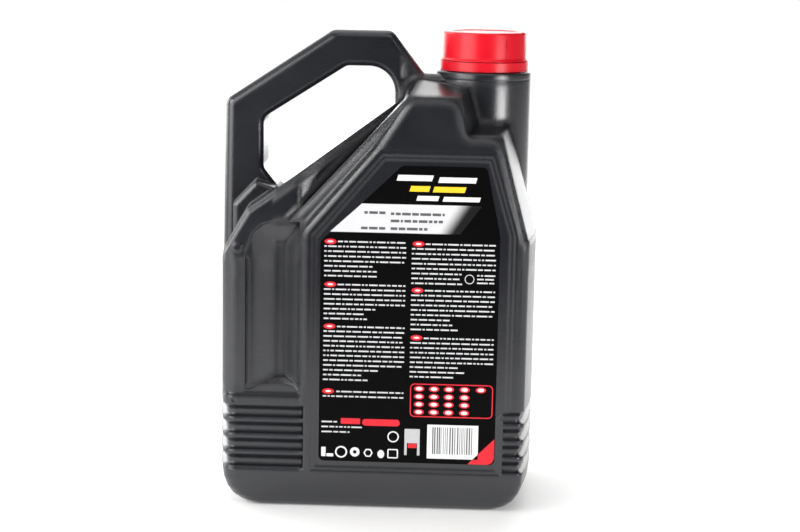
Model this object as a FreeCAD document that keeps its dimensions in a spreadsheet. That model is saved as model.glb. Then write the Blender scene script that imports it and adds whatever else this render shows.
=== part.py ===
import FreeCAD, Part
import math
import os

import Sketcher

vec = FreeCAD.Vector
doc = FreeCAD.newDocument("OilBottle")
sheet = doc.addObject("Spreadsheet::Sheet", "sizes")

# Every size in millimetres, or degrees where the note says so.
sizeRows = [
    ("wall", 1.6, "blown wall"),
    ("frontReach", 58.5, "mid plane to front face of base and panel"),
    ("stepDrop", 2.1, "step round the panel, below the front face"),
    ("blockDrop", 1.2, "ribbed block, below the front face"),
    ("torsoDrop", 3.9, "face beside the panel, below the front face"),
    ("sideReach", 102.5, "mid plane to the bowed side"),
    ("bowRadius", 260.0, "radius of the bowed sides in plan"),
    ("leftCorner", 9.0, "left upright edge radius"),
    ("rightCorner", 5.0, "right upright edge radius"),
    ("shoulderHeight", 178.0, "height where the right side starts to lean in"),
    ("topHeight", 281.0, "height the torso's plan is drawn to"),
    ("baseHeight", 25.6, "height of the base band"),
    ("baseSideTuck", 21.0, "how far the rounded base tucks in at the sides"),
    ("baseFrontTuck", 10.0, "how far it tucks in at front and back"),
    ("footRise", 1.6, "depth of the hollow under the base"),
    ("footSide", 60.0, "half length of that hollow"),
    ("footDepth", 30.0, "half width of that hollow"),
    ("chamferLowIn", -7.5, "lower end of the left shoulder cut, in from the left side"),
    ("chamferLowZ", 146.5, "its height"),
    ("ledgeLeftIn", 20.0, "left end of the slope under the handle, in from the left side"),
    ("ledgeLeftZ", 193.8, "its height"),
    ("ledgeRightX", 16.0, "right end of the slope under the handle"),
    ("ledgeRightZ", 264.4, "its height"),
    ("ledgeRun", 3.5, "how far that slope runs on inside the shoulder"),
    ("ledgeRound", 4.0, "rounding of that slope's front edge"),
    ("stepStartX", -56.5, "lower left end of the step"),
    ("stepStartZ", 186.0, "its height"),
    ("stepMeetX", 14.5, "upper end of the sloping step"),
    ("stepMeetZ", 263.0, "its height"),
    ("stepRiseX", 16.5, "left of the shoulder's top"),
    ("stepRiseZ", 270.5, "its height"),
    ("stepTopX", 24.0, "top of the shoulder, left"),
    ("stepTopZ", 275.6, "its height"),
    ("stepBrowIn", 46.9, "shoulder's corner beside the neck, in from the right side"),
    ("stepBrowZ", 272.0, "its height"),
    ("stepDipIn", 39.2, "lower corner beside the neck, in from the right side"),
    ("stepDipZ", 250.5, "its height"),
    ("stepEndIn", 18.9, "right corner of the shelf beside the neck, in from the right side"),
    ("stepEndZ", 248.7, "its height"),
    ("easeBrow", 9.0, "corner radius of the panel's brow beside the neck"),
    ("easeDip", 6.0, "corner radius of the hollow beside the neck"),
    ("easeEnd", 7.0, "corner radius at the end of the shelf"),
    ("easeCrest", 8.0, "corner radius of the panel's left crest"),
    ("stepLowIn", 1.3, "foot of the leaning side, in from the right side"),
    ("stepBow", 0.9, "how much the leaning side bows at the mid plane"),
    ("stepBand", 1.6, "width of the flat band round the panel's crest"),
    ("stepDraft", 5.3, "how much narrower the leaning side is at the front"),
    ("stepRoot", 22.0, "mid plane to where the shoulder starts to slope"),
    ("taperStartX", -50.0, "where the face beside the panel starts to fall back"),
    ("taperEnd", 18.0, "mid plane to the face where it meets the handle"),
    ("crestX", -46.6, "left crest of the panel"),
    ("crestZ", 181.0, "height where that crest turns"),
    ("crestBendX", -1.4, "bend of the sloping crest"),
    ("crestBendZ", 233.9, "its height"),
    ("crestTopX", 19.5, "top of the sloping crest"),
    ("crestTopZ", 265.8, "top of the panel"),
    ("crestRightIn", 51.9, "right end of the panel's top, in from the right side"),
    ("crestNotchIn", 46.9, "notch of the panel beside the neck, in from the right side"),
    ("crestNotchZ", 242.0, "height of the panel's lower shelf"),
    ("crestEndIn", 25.7, "right end of that shelf, in from the right side"),
    ("crestLowIn", 9.3, "where the right crest runs out, in from the right side"),
    ("blockTop", 73.7, "top of the ribbed block"),
    ("ribLeftEnd", -44.8, "inner end of the left ribs"),
    ("ribRightEndIn", 19.3, "inner end of the right ribs, in from the right side"),
    ("ribTop", 68.1, "top of the uppermost groove"),
    ("ribPitch", 10.85, "spacing of the grooves"),
    ("ribSlope", 4.0, "height of a groove's slope"),
    ("ribFloor", 3.5, "height of a groove's floor"),
    ("ribLedge", 1.1, "height of the ledge under a groove"),
    ("ribDepth", 3.2, "depth of a groove"),
    ("gripLeftIn", 19.5, "left border of the finger recess, in from the left side"),
    ("gripDeepWide", 5.0, "width of its deepest part"),
    ("gripDeepIn", 10.3, "deepest part, in from the right border"),
    ("gripEdge", 1.6, "right border of the recess, beside the crest"),
    ("gripBottom", 75.8, "lower end of the recess"),
    ("gripTop", 187.0, "upper end of the recess"),
    ("gripDepth", 9.0, "depth of the recess"),
    ("gripSlope", 9.5, "height of its sloping lower end"),
    ("gripCrown", 16.0, "height of its sloping upper end"),
    ("gripLip", 1.4, "depth of the first step along its left border"),
    ("gripLipWidth", 3.6, "width of that step"),
    ("borderTop", 230.7, "top of the label recess"),
    ("borderLeft", -40.2, "left side of the label recess"),
    ("borderLeftZ", 178.5, "height where its left side turns"),
    ("borderTopLeft", 3.6, "left end of its top edge"),
    ("borderTopRightIn", 29.9, "right end of its top edge, in from the right side"),
    ("borderRightIn", 15.1, "right side of the recess, in from the right side"),
    ("borderRightZ", 181.5, "height where its right side turns"),
    ("borderLow", 66.0, "height where it clears the right ribs"),
    ("borderRibIn", 20.5, "its right side beside the ribs, in from the right side"),
    ("borderStep", 0.5, "depth of each of its two steps"),
    ("borderWidth", 2.8, "width of the upper step"),
    ("labelTop", 224.4, "top edge of the label"),
    ("labelBottom", 32.3, "bottom edge of the label"),
    ("labelLeft", -34.8, "left edge of the label"),
    ("labelLeftZ", 175.4, "height where its left edge turns"),
    ("labelTopLeft", 16.0, "left end of its top edge"),
    ("labelTopRightIn", 33.5, "right end of its top edge, in from the right side"),
    ("labelRightIn", 24.2, "right edge of the label, in from the right side"),
    ("labelRightZ", 181.0, "height where its right edge turns"),
    ("labelRound", 3.5, "corner radius of the label"),
    ("labelFilm", 0.12, "thickness of the label film"),
    ("pipIn", 14.5, "upper pip, in from the left side"),
    ("pipZ", 169.5, "its height"),
    ("pipRadius", 3.1, "its radius"),
    ("pipRise", 0.8, "its height above the face"),
    ("ringPipIn", 13.3, "lower ring mark, in from the left side"),
    ("ringPipZ", 71.0, "its height"),
    ("ringPipRadius", 2.6, "its radius"),
    ("handleReach", 17.0, "half thickness of the handle"),
    ("handleRound", 5.5, "rounding of the handle"),
    ("handleLeftIn", 0.3, "outer side of the handle at its foot, in from the left side"),
    ("handleCornerIn", 1.9, "upper outer corner of the handle, in from the left side"),
    ("handleCornerZ", 259.8, "its height"),
    ("handleCrownX", -31.5, "left end of the handle's top"),
    ("handleTop", 306.0, "top of the handle"),
    ("handleBrowX", 6.6, "right end of the handle's top"),
    ("handleNapeX", 27.4, "foot of the handle beside the neck"),
    ("webTop", 279.0, "top of the web between handle and neck"),
    ("webRightIn", 52.5, "end of that web inside the neck column, in from the right side"),
    ("webLow", 232.0, "lower end of that web inside the torso"),
    ("handleSunk", 43.8, "how deep the handle runs down inside the torso"),
    ("handleInnerIn", 42.5, "inner end of its foot inside the torso, in from the left side"),
    ("cornerSoft", 7.0, "outer corner radius of the handle"),
    ("gapLeftIn", 26.5, "left side of the finger gap, in from the left side"),
    ("gapFootZ", 216.0, "lower end of that side"),
    ("gapCornerZ", 248.6, "upper end of that side"),
    ("gapCrownX", -22.5, "left end of the gap's top"),
    ("gapTop", 283.2, "top of the finger gap"),
    ("gapRight", 8.9, "right side of the finger gap"),
    ("gapFloorIn", 36.3, "foot of the gap, in from the left side"),
    ("gapFloorZ", 203.6, "its height"),
    ("gapSoft", 17.0, "upper right corner radius of the gap"),
    ("gapRound", 7.0, "other corner radii of the gap"),
    ("gapChamfer", 2.6, "chamfer of the gap's rims"),
    ("rootReach", 29.0, "half thickness of the handle's root"),
    ("rootLeftIn", 8.5, "left side of the root, in from the left side"),
    ("rootShoulderZ", 193.0, "height where it turns"),
    ("rootPeakIn", 23.0, "top of the root, in from the left side"),
    ("rootPeakZ", 208.6, "its height"),
    ("rootRightIn", 40.5, "right side of the root, in from the left side"),
    ("rootRightZ", 203.0, "its height"),
    ("rootRound", 2.5, "rounding of the root"),
    ("neckIn", 36.9, "centre of the neck, in from the right side"),
    ("columnRadius", 30.8, "neck column"),
    ("columnLow", 165.0, "lower end of the column inside the torso"),
    ("columnTop", 278.6, "top of the column"),
    ("columnRound", 1.9, "chamfer of the column's top"),
    ("finishRadius", 24.0, "outside of the threaded neck"),
    ("finishTop", 301.6, "rim of the neck"),
    ("boreRadius", 21.5, "bore of the neck"),
    ("beadRadius", 25.4, "bead that holds the tamper ring"),
    ("beadLow", 284.0, "underside of the bead"),
    ("beadHeight", 1.8, "height of the bead"),
    ("ringLow", 281.3, "lower edge of the tamper ring"),
    ("ringHigh", 287.3, "upper edge of the tamper ring"),
    ("ringRadius", 28.6, "outside of the tamper ring"),
    ("ringBore", 26.2, "inside of the tamper ring"),
    ("ringLip", 2.2, "height of the lip under the bead"),
    ("runningFit", 0.06, "radial clearance of the lip, the spout and its seal"),
    ("bridgeRadius", 0.5, "frangible bridge stub"),
    ("bridgeHeight", 0.24, "height of a bridge stub"),
    ("capLow", 287.6, "lower edge of the cap"),
    ("capHigh", 306.0, "top of the cap"),
    ("capRadius", 27.2, "outside of the cap at its lower edge"),
    ("capFlare", 0.8, "how far its lower edge flares out"),
    ("capSkirt", 0.5, "height of that edge"),
    ("capTaper", 0.4, "how much narrower the cap is at its top"),
    ("capBore", 25.7, "inside of the cap"),
    ("capPlate", 2.0, "thickness of the cap's top"),
    ("capRound", 1.2, "rounding of the cap's top edge"),
    ("capDish", 0.5, "depth of the shallow dish in its top"),
    ("capDishRadius", 21.0, "radius of that dish"),
    ("capNotch", 3.0, "radius of the notch in the cap's rim"),
    ("capNotchDepth", 1.6, "depth of that notch"),
    ("capNotchX", 26.6, "notch, sideways from the neck's centre"),
    ("capNotchY", -10.2, "notch, towards the front"),
    ("linerRadius", 24.6, "cap liner"),
    ("linerHeight", 1.2, "thickness of the liner"),
    ("flangeRadius", 23.6, "flange of the spout collar"),
    ("flangeHeight", 1.2, "thickness of that flange"),
    ("collarFit", 0.2, "gap between collar and bore"),
    ("collarWall", 1.7, "wall of the collar"),
    ("collarLow", 283.0, "lower end of the collar"),
    ("collarLip", 3.0, "height of the guiding lip in the collar"),
    ("tubeRadius", 18.6, "outside of the pull-out spout"),
    ("tubeWall", 1.5, "wall of the spout"),
    ("tubeLow", 250.0, "lower end of the stowed spout"),
    ("tubeDrop", 0.6, "spout rim below the collar's flange"),
    ("tubeRise", 2.0, "height of the stop bead on the spout"),
    ("tubeStop", 0.7, "how far the stop bead stands out"),
    ("sealDepth", 4.4, "depth of the seal's cup"),
    ("sealWall", 1.0, "thickness of the seal"),
    ("sealRim", 0.5, "thickness of the seal's rim"),
    ("pullRadius", 8.5, "ring pull, centre line"),
    ("pullBar", 0.9, "ring pull, bar radius"),
    ("pullShift", 4.0, "ring pull, offset from the middle"),
    ("pullHeight", 1.9, "ring pull above the seal's floor"),
]


class Term:
    """A number together with the spreadsheet expression that gives it."""

    def __init__(self, value, text):
        self.value = value
        self.text = text

    def join(self, other, sign, result):
        text = other.text if isinstance(other, Term) else repr(float(other))
        return Term(result, "(%s %s %s)" % (self.text, sign, text))

    def __add__(self, other):
        return self.join(other, "+", self.value + plain(other))

    def __sub__(self, other):
        return self.join(other, "-", self.value - plain(other))

    def __mul__(self, other):
        return self.join(other, "*", self.value * plain(other))

    def __truediv__(self, other):
        return self.join(other, "/", self.value / plain(other))

    def __neg__(self):
        return self * -1.0


def plain(item):
    return item.value if isinstance(item, Term) else float(item)


class Sizes:
    pass


size = Sizes()
for row, (alias, value, note) in enumerate(sizeRows, start=1):
    sheet.set("A%d" % row, alias)
    sheet.set("B%d" % row, str(value))
    sheet.set("C%d" % row, note)
    sheet.setAlias("B%d" % row, alias)
    setattr(size, alias, Term(value, "sizes." + alias))
doc.recompute()
zero = Term(0.0, "0.0")
S = size
S.chamferLowX = S.chamferLowIn - S.sideReach
S.ledgeLeftX = S.ledgeLeftIn - S.sideReach
S.gripLeft = S.gripLeftIn - S.sideReach
S.pipX = S.pipIn - S.sideReach
S.ringPipX = S.ringPipIn - S.sideReach
S.handleLeft = S.handleLeftIn - S.sideReach
S.handleCornerX = S.handleCornerIn - S.sideReach
S.handleInner = S.handleInnerIn - S.sideReach
S.gapLeft = S.gapLeftIn - S.sideReach
S.gapFloorX = S.gapFloorIn - S.sideReach
S.rootLeft = S.rootLeftIn - S.sideReach
S.rootPeakX = S.rootPeakIn - S.sideReach
S.rootRight = S.rootRightIn - S.sideReach
S.neckX = S.sideReach - S.neckIn
S.stepLowX = S.sideReach - S.stepLowIn
S.crestRightX = S.sideReach - S.crestRightIn
S.crestNotchX = S.sideReach - S.crestNotchIn
S.crestEndX = S.sideReach - S.crestEndIn
S.crestLowX = S.sideReach - S.crestLowIn
S.ribRightEnd = S.sideReach - S.ribRightEndIn
S.borderTopRight = S.sideReach - S.borderTopRightIn
S.borderRight = S.sideReach - S.borderRightIn
S.borderRib = S.sideReach - S.borderRibIn
S.labelTopRight = S.sideReach - S.labelTopRightIn
S.labelRight = S.sideReach - S.labelRightIn
S.webRight = S.sideReach - S.webRightIn
S.gripRight = S.crestX - S.gripEdge
S.gripDeepRight = S.gripRight - S.gripDeepIn
S.gripDeepLeft = S.gripDeepRight - S.gripDeepWide
S.handleFoot = S.ledgeLeftZ - S.handleSunk
S.stepReach = S.frontReach - S.stepDrop
S.blockReach = S.frontReach - S.blockDrop
S.torsoReach = S.frontReach - S.torsoDrop
S.stepBrowX = S.sideReach - S.stepBrowIn
S.stepDipX = S.sideReach - S.stepDipIn
S.stepEndX = S.sideReach - S.stepEndIn
outer = S.sideReach * 1.3


def bind(item, name, term):
    setattr(item, name, plain(term))
    item.setExpression(name, term.text)


def newBody(name):
    body = doc.addObject("PartDesign::Body", name)
    body.Label = name
    body.AllowCompound = True
    return body


def newSketch(body, name, role, offset=None):
    sketch = body.newObject("Sketcher::SketchObject", name)
    plane = [item for item in body.Origin.OriginFeatures if item.Role == role][0]
    sketch.AttachmentSupport = [(plane, "")]
    sketch.MapMode = "FlatFace"
    if offset is not None:
        sketch.AttachmentOffset = FreeCAD.Placement(vec(0, 0, plain(offset)), FreeCAD.Rotation())
        sketch.setExpression(".AttachmentOffset.Base.z", offset.text)
    return sketch


def pin(sketch, geo, end, across, up):
    """Holds a sketch point at two spreadsheet values."""
    for kind, term in (("DistanceX", across), ("DistanceY", up)):
        index = sketch.addConstraint(Sketcher.Constraint(kind, -1, 1, geo, end, plain(term)))
        sketch.setExpression("Constraints[%d]" % index, term.text)


def loop(sketch, points):
    """Closed run of straight lines through bound points."""
    spots = [vec(plain(a), plain(b), 0) for a, b in points]
    first = sketch.GeometryCount
    count = len(spots)
    for i in range(count):
        sketch.addGeometry(Part.LineSegment(spots[i], spots[(i + 1) % count]), False)
    for i in range(count):
        after = first + (i + 1) % count
        sketch.addConstraint(Sketcher.Constraint("Coincident", first + i, 2, after, 1))
    for i, (a, b) in enumerate(points):
        pin(sketch, first + i, 1, a, b)


def circle(sketch, across, up, radius):
    geo = sketch.addGeometry(Part.Circle(vec(plain(across), plain(up), 0), vec(0, 0, 1), plain(radius)), False)
    pin(sketch, geo, 3, across, up)
    index = sketch.addConstraint(Sketcher.Constraint("Radius", geo, plain(radius)))
    sketch.setExpression("Constraints[%d]" % index, radius.text)


def extrude(body, name, sketch, length, symmetric=False, reverse=False, cut=False):
    kind = "PartDesign::Pocket" if cut else "PartDesign::Pad"
    item = body.newObject(kind, name)
    item.Profile = sketch
    if symmetric:
        item.SideType = "Symmetric"
    item.Reversed = reverse
    bind(item, "Length", length)
    doc.recompute()
    return item


def edgesWhere(feature, test):
    return ["Edge%d" % (i + 1) for i, edge in enumerate(feature.Shape.Edges) if test(edge)]


def rounded(body, name, feature, radius, test):
    names = edgesWhere(feature, test)
    if not names:
        raise RuntimeError("no edge found for " + name)
    item = body.newObject("PartDesign::Fillet", name)
    item.Base = (feature, names)
    bind(item, "Radius", radius)
    doc.recompute()
    return item


def bevelled(body, name, feature, width, test):
    names = edgesWhere(feature, test)
    if not names:
        raise RuntimeError("no edge found for " + name)
    item = body.newObject("PartDesign::Chamfer", name)
    item.Base = (feature, names)
    bind(item, "Size", width)
    doc.recompute()
    return item


def ends(edge):
    return [vertex.Point for vertex in edge.Vertexes]


def onPlane(edge, depth):
    """True for an edge that lies in the plane at this distance from the mid plane."""
    box = edge.BoundBox
    return abs(box.YMax - box.YMin) < 1e-4 and abs(abs(box.YMax) - depth) < 1e-4


def acrossAt(edge, across, up):
    """True for an edge that runs front to back through a point of the front view."""
    box = edge.BoundBox
    if box.YMax - box.YMin < 1.0:
        return False
    if max(box.XMax - box.XMin, box.ZMax - box.ZMin) > 1e-3:
        return False
    return abs(box.XMax - across) < 1e-3 and abs(box.ZMax - up) < 1e-3


def inset(points, amount):
    """Moves a clockwise or anticlockwise outline inwards, corner by corner."""
    spots = [(plain(a), plain(b)) for a, b in points]
    count = len(spots)
    area = sum(spots[i][0] * spots[(i + 1) % count][1] - spots[(i + 1) % count][0] * spots[i][1] for i in range(count))
    turn = 1.0 if area > 0 else -1.0
    moved = []
    for i in range(count):
        before = spots[i - 1]
        here = spots[i]
        after = spots[(i + 1) % count]
        first = math.hypot(here[0] - before[0], here[1] - before[1])
        second = math.hypot(after[0] - here[0], after[1] - here[1])
        a = (-(here[1] - before[1]) / first * turn, (here[0] - before[0]) / first * turn)
        b = (-(after[1] - here[1]) / second * turn, (after[0] - here[0]) / second * turn)
        scale = 1.0 + a[0] * b[0] + a[1] * b[1]
        shiftX = round((a[0] + b[0]) / scale, 4)
        shiftZ = round((a[1] + b[1]) / scale, 4)
        moved.append((points[i][0] + amount * shiftX, points[i][1] + amount * shiftZ))
    return moved


def eased(points, radii, count=3):
    """Swaps the numbered corners of an outline for short runs round an arc."""
    made = []
    for i, here in enumerate(points):
        if i not in radii:
            made.append(here)
            continue
        x, z = plain(here[0]), plain(here[1])
        rays = []
        for other in (points[i - 1], points[(i + 1) % len(points)]):
            dx, dz = plain(other[0]) - x, plain(other[1]) - z
            rays.append((dx / math.hypot(dx, dz), dz / math.hypot(dx, dz)))
        half = math.acos(rays[0][0] * rays[1][0] + rays[0][1] * rays[1][1]) / 2.0
        middle = math.hypot(rays[0][0] + rays[1][0], rays[0][1] + rays[1][1])
        cx = (rays[0][0] + rays[1][0]) / middle / math.sin(half)
        cz = (rays[0][1] + rays[1][1]) / middle / math.sin(half)
        first = math.atan2(rays[0][1] / math.tan(half) - cz, rays[0][0] / math.tan(half) - cx)
        last = math.atan2(rays[1][1] / math.tan(half) - cz, rays[1][0] / math.tan(half) - cx)
        sweep = (last - first + math.pi) % (2 * math.pi) - math.pi
        for k in range(count + 1):
            angle = first + sweep * k / count
            dx, dz = round(cx + math.cos(angle), 4), round(cz + math.sin(angle), 4)
            made.append((here[0] + radii[i] * dx, here[1] + radii[i] * dz))
    return made


def planSketch(body, name, height, reach, left, right, bow, leftRound, rightRound):
    """Plan of the bottle: flat front and back, bowed sides, four rounded corners."""
    sketch = newSketch(body, name, "XY_Plane", height)
    d = plain(reach)
    rb = plain(bow)
    parts = []
    for side, apex, soft in ((-1.0, plain(left), plain(leftRound)), (1.0, plain(right), plain(rightRound))):
        middle = apex - side * rb
        cy = d - soft
        cx = middle + side * math.sqrt((rb - soft) ** 2 - cy ** 2)
        angle = math.atan2(cy, (cx - middle) * side)
        parts.append((side, middle, rb, cx, cy, soft, angle))
    sideL, midL, rb, cxL, cy, softL, angL = parts[0]
    sideR, midR, rb, cxR, cyR, softR, angR = parts[1]
    half = math.pi / 2
    up = vec(0, 0, 1)
    arcs = [
        Part.LineSegment(vec(cxL, -d, 0), vec(cxR, -d, 0)),
        Part.ArcOfCircle(Part.Circle(vec(cxR, -cyR, 0), up, softR), -half, -angR),
        Part.ArcOfCircle(Part.Circle(vec(midR, 0, 0), up, rb), -angR, angR),
        Part.ArcOfCircle(Part.Circle(vec(cxR, cyR, 0), up, softR), angR, half),
        Part.LineSegment(vec(cxR, d, 0), vec(cxL, d, 0)),
        Part.ArcOfCircle(Part.Circle(vec(cxL, cy, 0), up, softL), half, math.pi - angL),
        Part.ArcOfCircle(Part.Circle(vec(midL, 0, 0), up, rb), math.pi - angL, math.pi + angL),
        Part.ArcOfCircle(Part.Circle(vec(cxL, -cy, 0), up, softL), math.pi + angL, 3 * half),
    ]
    for piece in arcs:
        sketch.addGeometry(piece, False)
    for i in range(8):
        sketch.addConstraint(Sketcher.Constraint("Tangent", i, 2, (i + 1) % 8, 1))
    pinned = [
        ("DistanceY", 0, 1, -reach),
        ("DistanceY", 4, 1, reach),
        ("DistanceX", 2, 3, right - bow),
        ("DistanceY", 2, 3, zero),
        ("DistanceX", 6, 3, left + bow),
        ("DistanceY", 6, 3, zero),
    ]
    for kind, geo, end, term in pinned:
        index = sketch.addConstraint(Sketcher.Constraint(kind, -1, 1, geo, end, plain(term)))
        sketch.setExpression("Constraints[%d]" % index, term.text)
    for geo, term in ((2, bow), (6, bow), (1, rightRound), (3, rightRound), (5, leftRound), (7, leftRound)):
        index = sketch.addConstraint(Sketcher.Constraint("Radius", geo, plain(term)))
        sketch.setExpression("Constraints[%d]" % index, term.text)
    return sketch


def layer(name, reach, outline, thick, low=None):
    """One level of the torso: the bottle's plan, kept only inside a front-view outline."""
    body = newBody(name)
    left = -size.sideReach + thick
    right = size.sideReach - thick
    bow = size.bowRadius - thick
    deep = reach - thick
    share = 1.0 if thick is zero else 0.7
    leftRound = size.leftCorner * share
    rightRound = size.rightCorner * share
    start = zero if low is None else low
    lower = planSketch(body, name + "Plan", start, deep, left, right, bow, leftRound, rightRound)
    extrude(body, name + "Pad", lower, S.topHeight - start)
    frame = newSketch(body, name + "Outline", "XZ_Plane")
    far = size.sideReach * 2.0
    high = size.handleTop * 1.2
    loop(frame, [(-far, -far), (far, -far), (far, high), (-far, high)])
    loop(frame, outline)
    return body, extrude(body, name + "Trim", frame, far, symmetric=True, cut=True)


def slab(name, outline, reach, role="XZ_Plane"):
    """Straight plate, symmetric about the mid plane."""
    body = newBody(name)
    sketch = newSketch(body, name + "Outline", role)
    loop(sketch, outline)
    return body, extrude(body, name + "Plate", sketch, reach * 2.0, symmetric=True)


def joined(name, kind, base, tools):
    item = doc.addObject(kind, name)
    if kind == "Part::Cut":
        item.Base = base
        item.Tool = tools
    else:
        item.Shapes = [base] + tools
    item.Refine = True
    doc.recompute()
    return item


torsoOutline = [
    (-outer, -S.baseHeight),
    (outer, -S.baseHeight),
    (outer, S.shoulderHeight),
    (S.stepLowX - 16.0, S.shoulderHeight),
    (S.neckX, S.stepEndZ - 11.0),
    (S.ledgeRightX + 6.0, S.ledgeRightZ - 4.0),
    (S.ledgeRightX + S.ledgeRun, S.ledgeRightZ + S.ledgeRun * 0.7168),
    (S.ledgeLeftX, S.ledgeLeftZ),
    (S.chamferLowX, S.chamferLowZ),
    (-outer, S.chamferLowZ - 40.0),
]
crest = [
    (S.crestX, S.baseHeight),
    (outer, S.baseHeight),
    (outer, S.shoulderHeight),
    (S.crestLowX, S.shoulderHeight),
    (S.crestEndX, S.crestNotchZ),
    (S.crestNotchX, S.crestNotchZ),
    (S.crestRightX, S.crestTopZ),
    (S.crestTopX, S.crestTopZ),
    (S.crestBendX, S.crestBendZ),
    (S.crestX, S.crestZ),
]
crestRadii = {4: S.easeEnd, 5: S.easeDip, 6: S.easeBrow, 7: S.easeBrow, 8: S.easeCrest, 9: S.easeCrest}
panelOutline = eased(crest, crestRadii)


def shoulderForm(name, thick):
    """Shoulder under the panel: slopes in from the panel's crest to the neck and the handle."""
    band = inset(crest, -S.stepBand)
    low = [
        (S.stepLowX, S.shoulderHeight),
        (S.stepLowX - 24.0, S.shoulderHeight - 12.0),
        (S.crestX + 3.0, S.shoulderHeight - 12.0),
    ]
    back = [
        (S.stepStartX, S.stepStartZ),
        (S.ledgeRightX, S.ledgeRightZ),
        (S.stepRiseX, S.stepRiseZ),
        (S.stepTopX, S.stepTopZ),
        (S.stepBrowX, S.stepBrowZ),
        (S.stepDipX, S.stepDipZ),
        (S.stepEndX, S.stepEndZ),
    ] + low
    front = [
        (S.stepStartX, S.stepStartZ),
        (S.stepMeetX, S.stepMeetZ),
        (band[7][0] - S.stepBand, band[7][1] - S.stepBand * 1.5),
        band[7],
        band[6],
        band[5],
        band[4],
    ] + [(x - S.stepDraft, z) for x, z in low[:2]] + low[2:]
    middle = back[:7] + [(x + S.stepBow, z) for x, z in low[:2]] + low[2:]
    body = newBody(name)
    sketches = []
    face = S.stepReach - thick
    root = S.stepRoot - thick * 0.5
    rows = [
        ("Front", face, front),
        ("Near", root, back),
        ("Middle", zero, middle),
        ("Far", -root, back),
        ("Back", -face, front),
    ]
    for tag, depth, outline in rows:
        sketch = newSketch(body, name + tag, "XZ_Plane", depth)
        loop(sketch, inset(outline, thick))
        sketches.append(sketch)
    loft = body.newObject("PartDesign::AdditiveLoft", name + "Loft")
    loft.Profile = sketches[0]
    loft.Sections = sketches[1:]
    loft.Ruled = True
    doc.recompute()
    return body


def taperCut(body, name, thick):
    """Lets the face beside the panel fall back towards the neck."""
    sketch = newSketch(body, name, "XY_Plane", S.shoulderHeight - 18.0 - thick * 1.5)
    far = S.frontReach * 1.4
    shape = [
        (S.taperStartX, S.torsoReach - thick),
        (S.ledgeRightX, S.taperEnd - thick * 0.5),
        (outer * 1.5, S.taperEnd - thick * 0.5),
        (outer * 1.5, far),
        (S.taperStartX - 6.0, far),
        (S.taperStartX - 6.0, S.torsoReach + 3.0),
    ]
    loop(sketch, shape)
    loop(sketch, [(a, -b) for a, b in shape])
    return extrude(body, name + "Cut", sketch, S.handleTop, cut=True, reverse=True)


def baseForm(name, thick, rise):
    """Rounded base band, lofted through plans that tuck in towards the floor."""
    body = newBody(name)
    sketches = []
    angles = (0.0, 16.0, 32.0, 47.0, 62.0, 76.0, 90.0) if thick is zero else (0.0, 32.0, 62.0, 90.0)
    for i, angle in enumerate(angles):
        drop = round(math.sin(math.radians(angle)), 5)
        tuck = round(1.0 - math.cos(math.radians(angle)), 5)
        height = S.baseHeight - (S.baseHeight - rise) * drop
        side = S.sideReach - thick - S.baseSideTuck * tuck
        front = S.frontReach - thick - S.baseFrontTuck * tuck
        soft = S.baseFrontTuck * (0.6 * tuck)
        share = 1.0 if thick is zero else 0.7
        left = S.leftCorner * share + soft
        right = S.rightCorner * share + soft
        sketches.append(
            planSketch(body, "%sPlan%d" % (name, i), height, front, -side, side, S.bowRadius, left, right)
        )
    loft = body.newObject("PartDesign::AdditiveLoft", name + "Loft")
    loft.Profile = sketches[0]
    loft.Sections = sketches[1:]
    loft.Ruled = True
    doc.recompute()
    return body


def ringForm(name, thick, reach):
    """Handle loop with its finger gap, rounded all round."""
    outline = [
        (S.handleLeft, S.handleFoot),
        (S.handleCornerX, S.handleCornerZ),
        (S.handleCrownX, S.handleTop),
        (S.handleBrowX, S.handleTop),
        (S.handleNapeX, S.webTop),
        (S.webRight, S.webTop),
        (S.webRight, S.webLow - 15.0),
        (S.gapRight, S.webLow - 15.0),
        (S.handleInner, S.handleFoot),
    ]
    gap = [
        (S.gapLeft, S.gapFootZ),
        (S.gapLeft, S.gapCornerZ),
        (S.gapCrownX, S.gapTop),
        (S.gapRight, S.gapTop),
        (S.gapRight, S.webLow),
        (S.gapFloorX, S.ledgeLeftZ - 12.0),
        (S.gapFloorX, S.gapFloorZ),
    ]
    outline = inset(outline, thick)
    gap = inset(gap, -thick)
    body, plate = slab(name, outline, reach - thick)
    hole = newSketch(body, name + "Gap", "XZ_Plane")
    loop(hole, gap)
    cut = extrude(body, name + "Hole", hole, reach * 4.0, symmetric=True, cut=True)
    deep = plain(reach - thick)
    if thick is not zero:
        bevelled(body, name + "Rims", cut, (S.handleRound - thick) * 0.75, lambda edge: onPlane(edge, deep))
        return body
    corners = [outline[1], outline[2], outline[3]]
    soft = rounded(
        body,
        name + "Corners",
        cut,
        S.cornerSoft,
        lambda edge: any(acrossAt(edge, plain(a), plain(b)) for a, b in corners),
    )
    soft = rounded(body, name + "Rims", soft, S.handleRound, lambda edge: onPlane(edge, deep) and not within(edge))
    bends = [gap[0], gap[1], gap[2], gap[6]]
    soft = rounded(
        body,
        name + "Bends",
        soft,
        S.gapRound,
        lambda edge: any(acrossAt(edge, plain(a), plain(b)) for a, b in bends),
    )
    soft = rounded(
        body,
        name + "Curve",
        soft,
        S.gapSoft,
        lambda edge: acrossAt(edge, plain(gap[3][0]), plain(gap[3][1])),
    )
    bevelled(body, name + "GapRims", soft, S.gapChamfer, lambda edge: onPlane(edge, deep) and within(edge))
    return body


def within(edge):
    """True for an edge on the finger gap's outline."""
    box = edge.BoundBox
    sides = (plain(S.gapLeft) - 0.1, plain(S.gapRight) + 0.1, plain(S.ledgeLeftZ) - 12.1, plain(S.gapTop) + 0.1)
    return box.XMin > sides[0] and box.XMax < sides[1] and box.ZMin > sides[2] and box.ZMax < sides[3]


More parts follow.
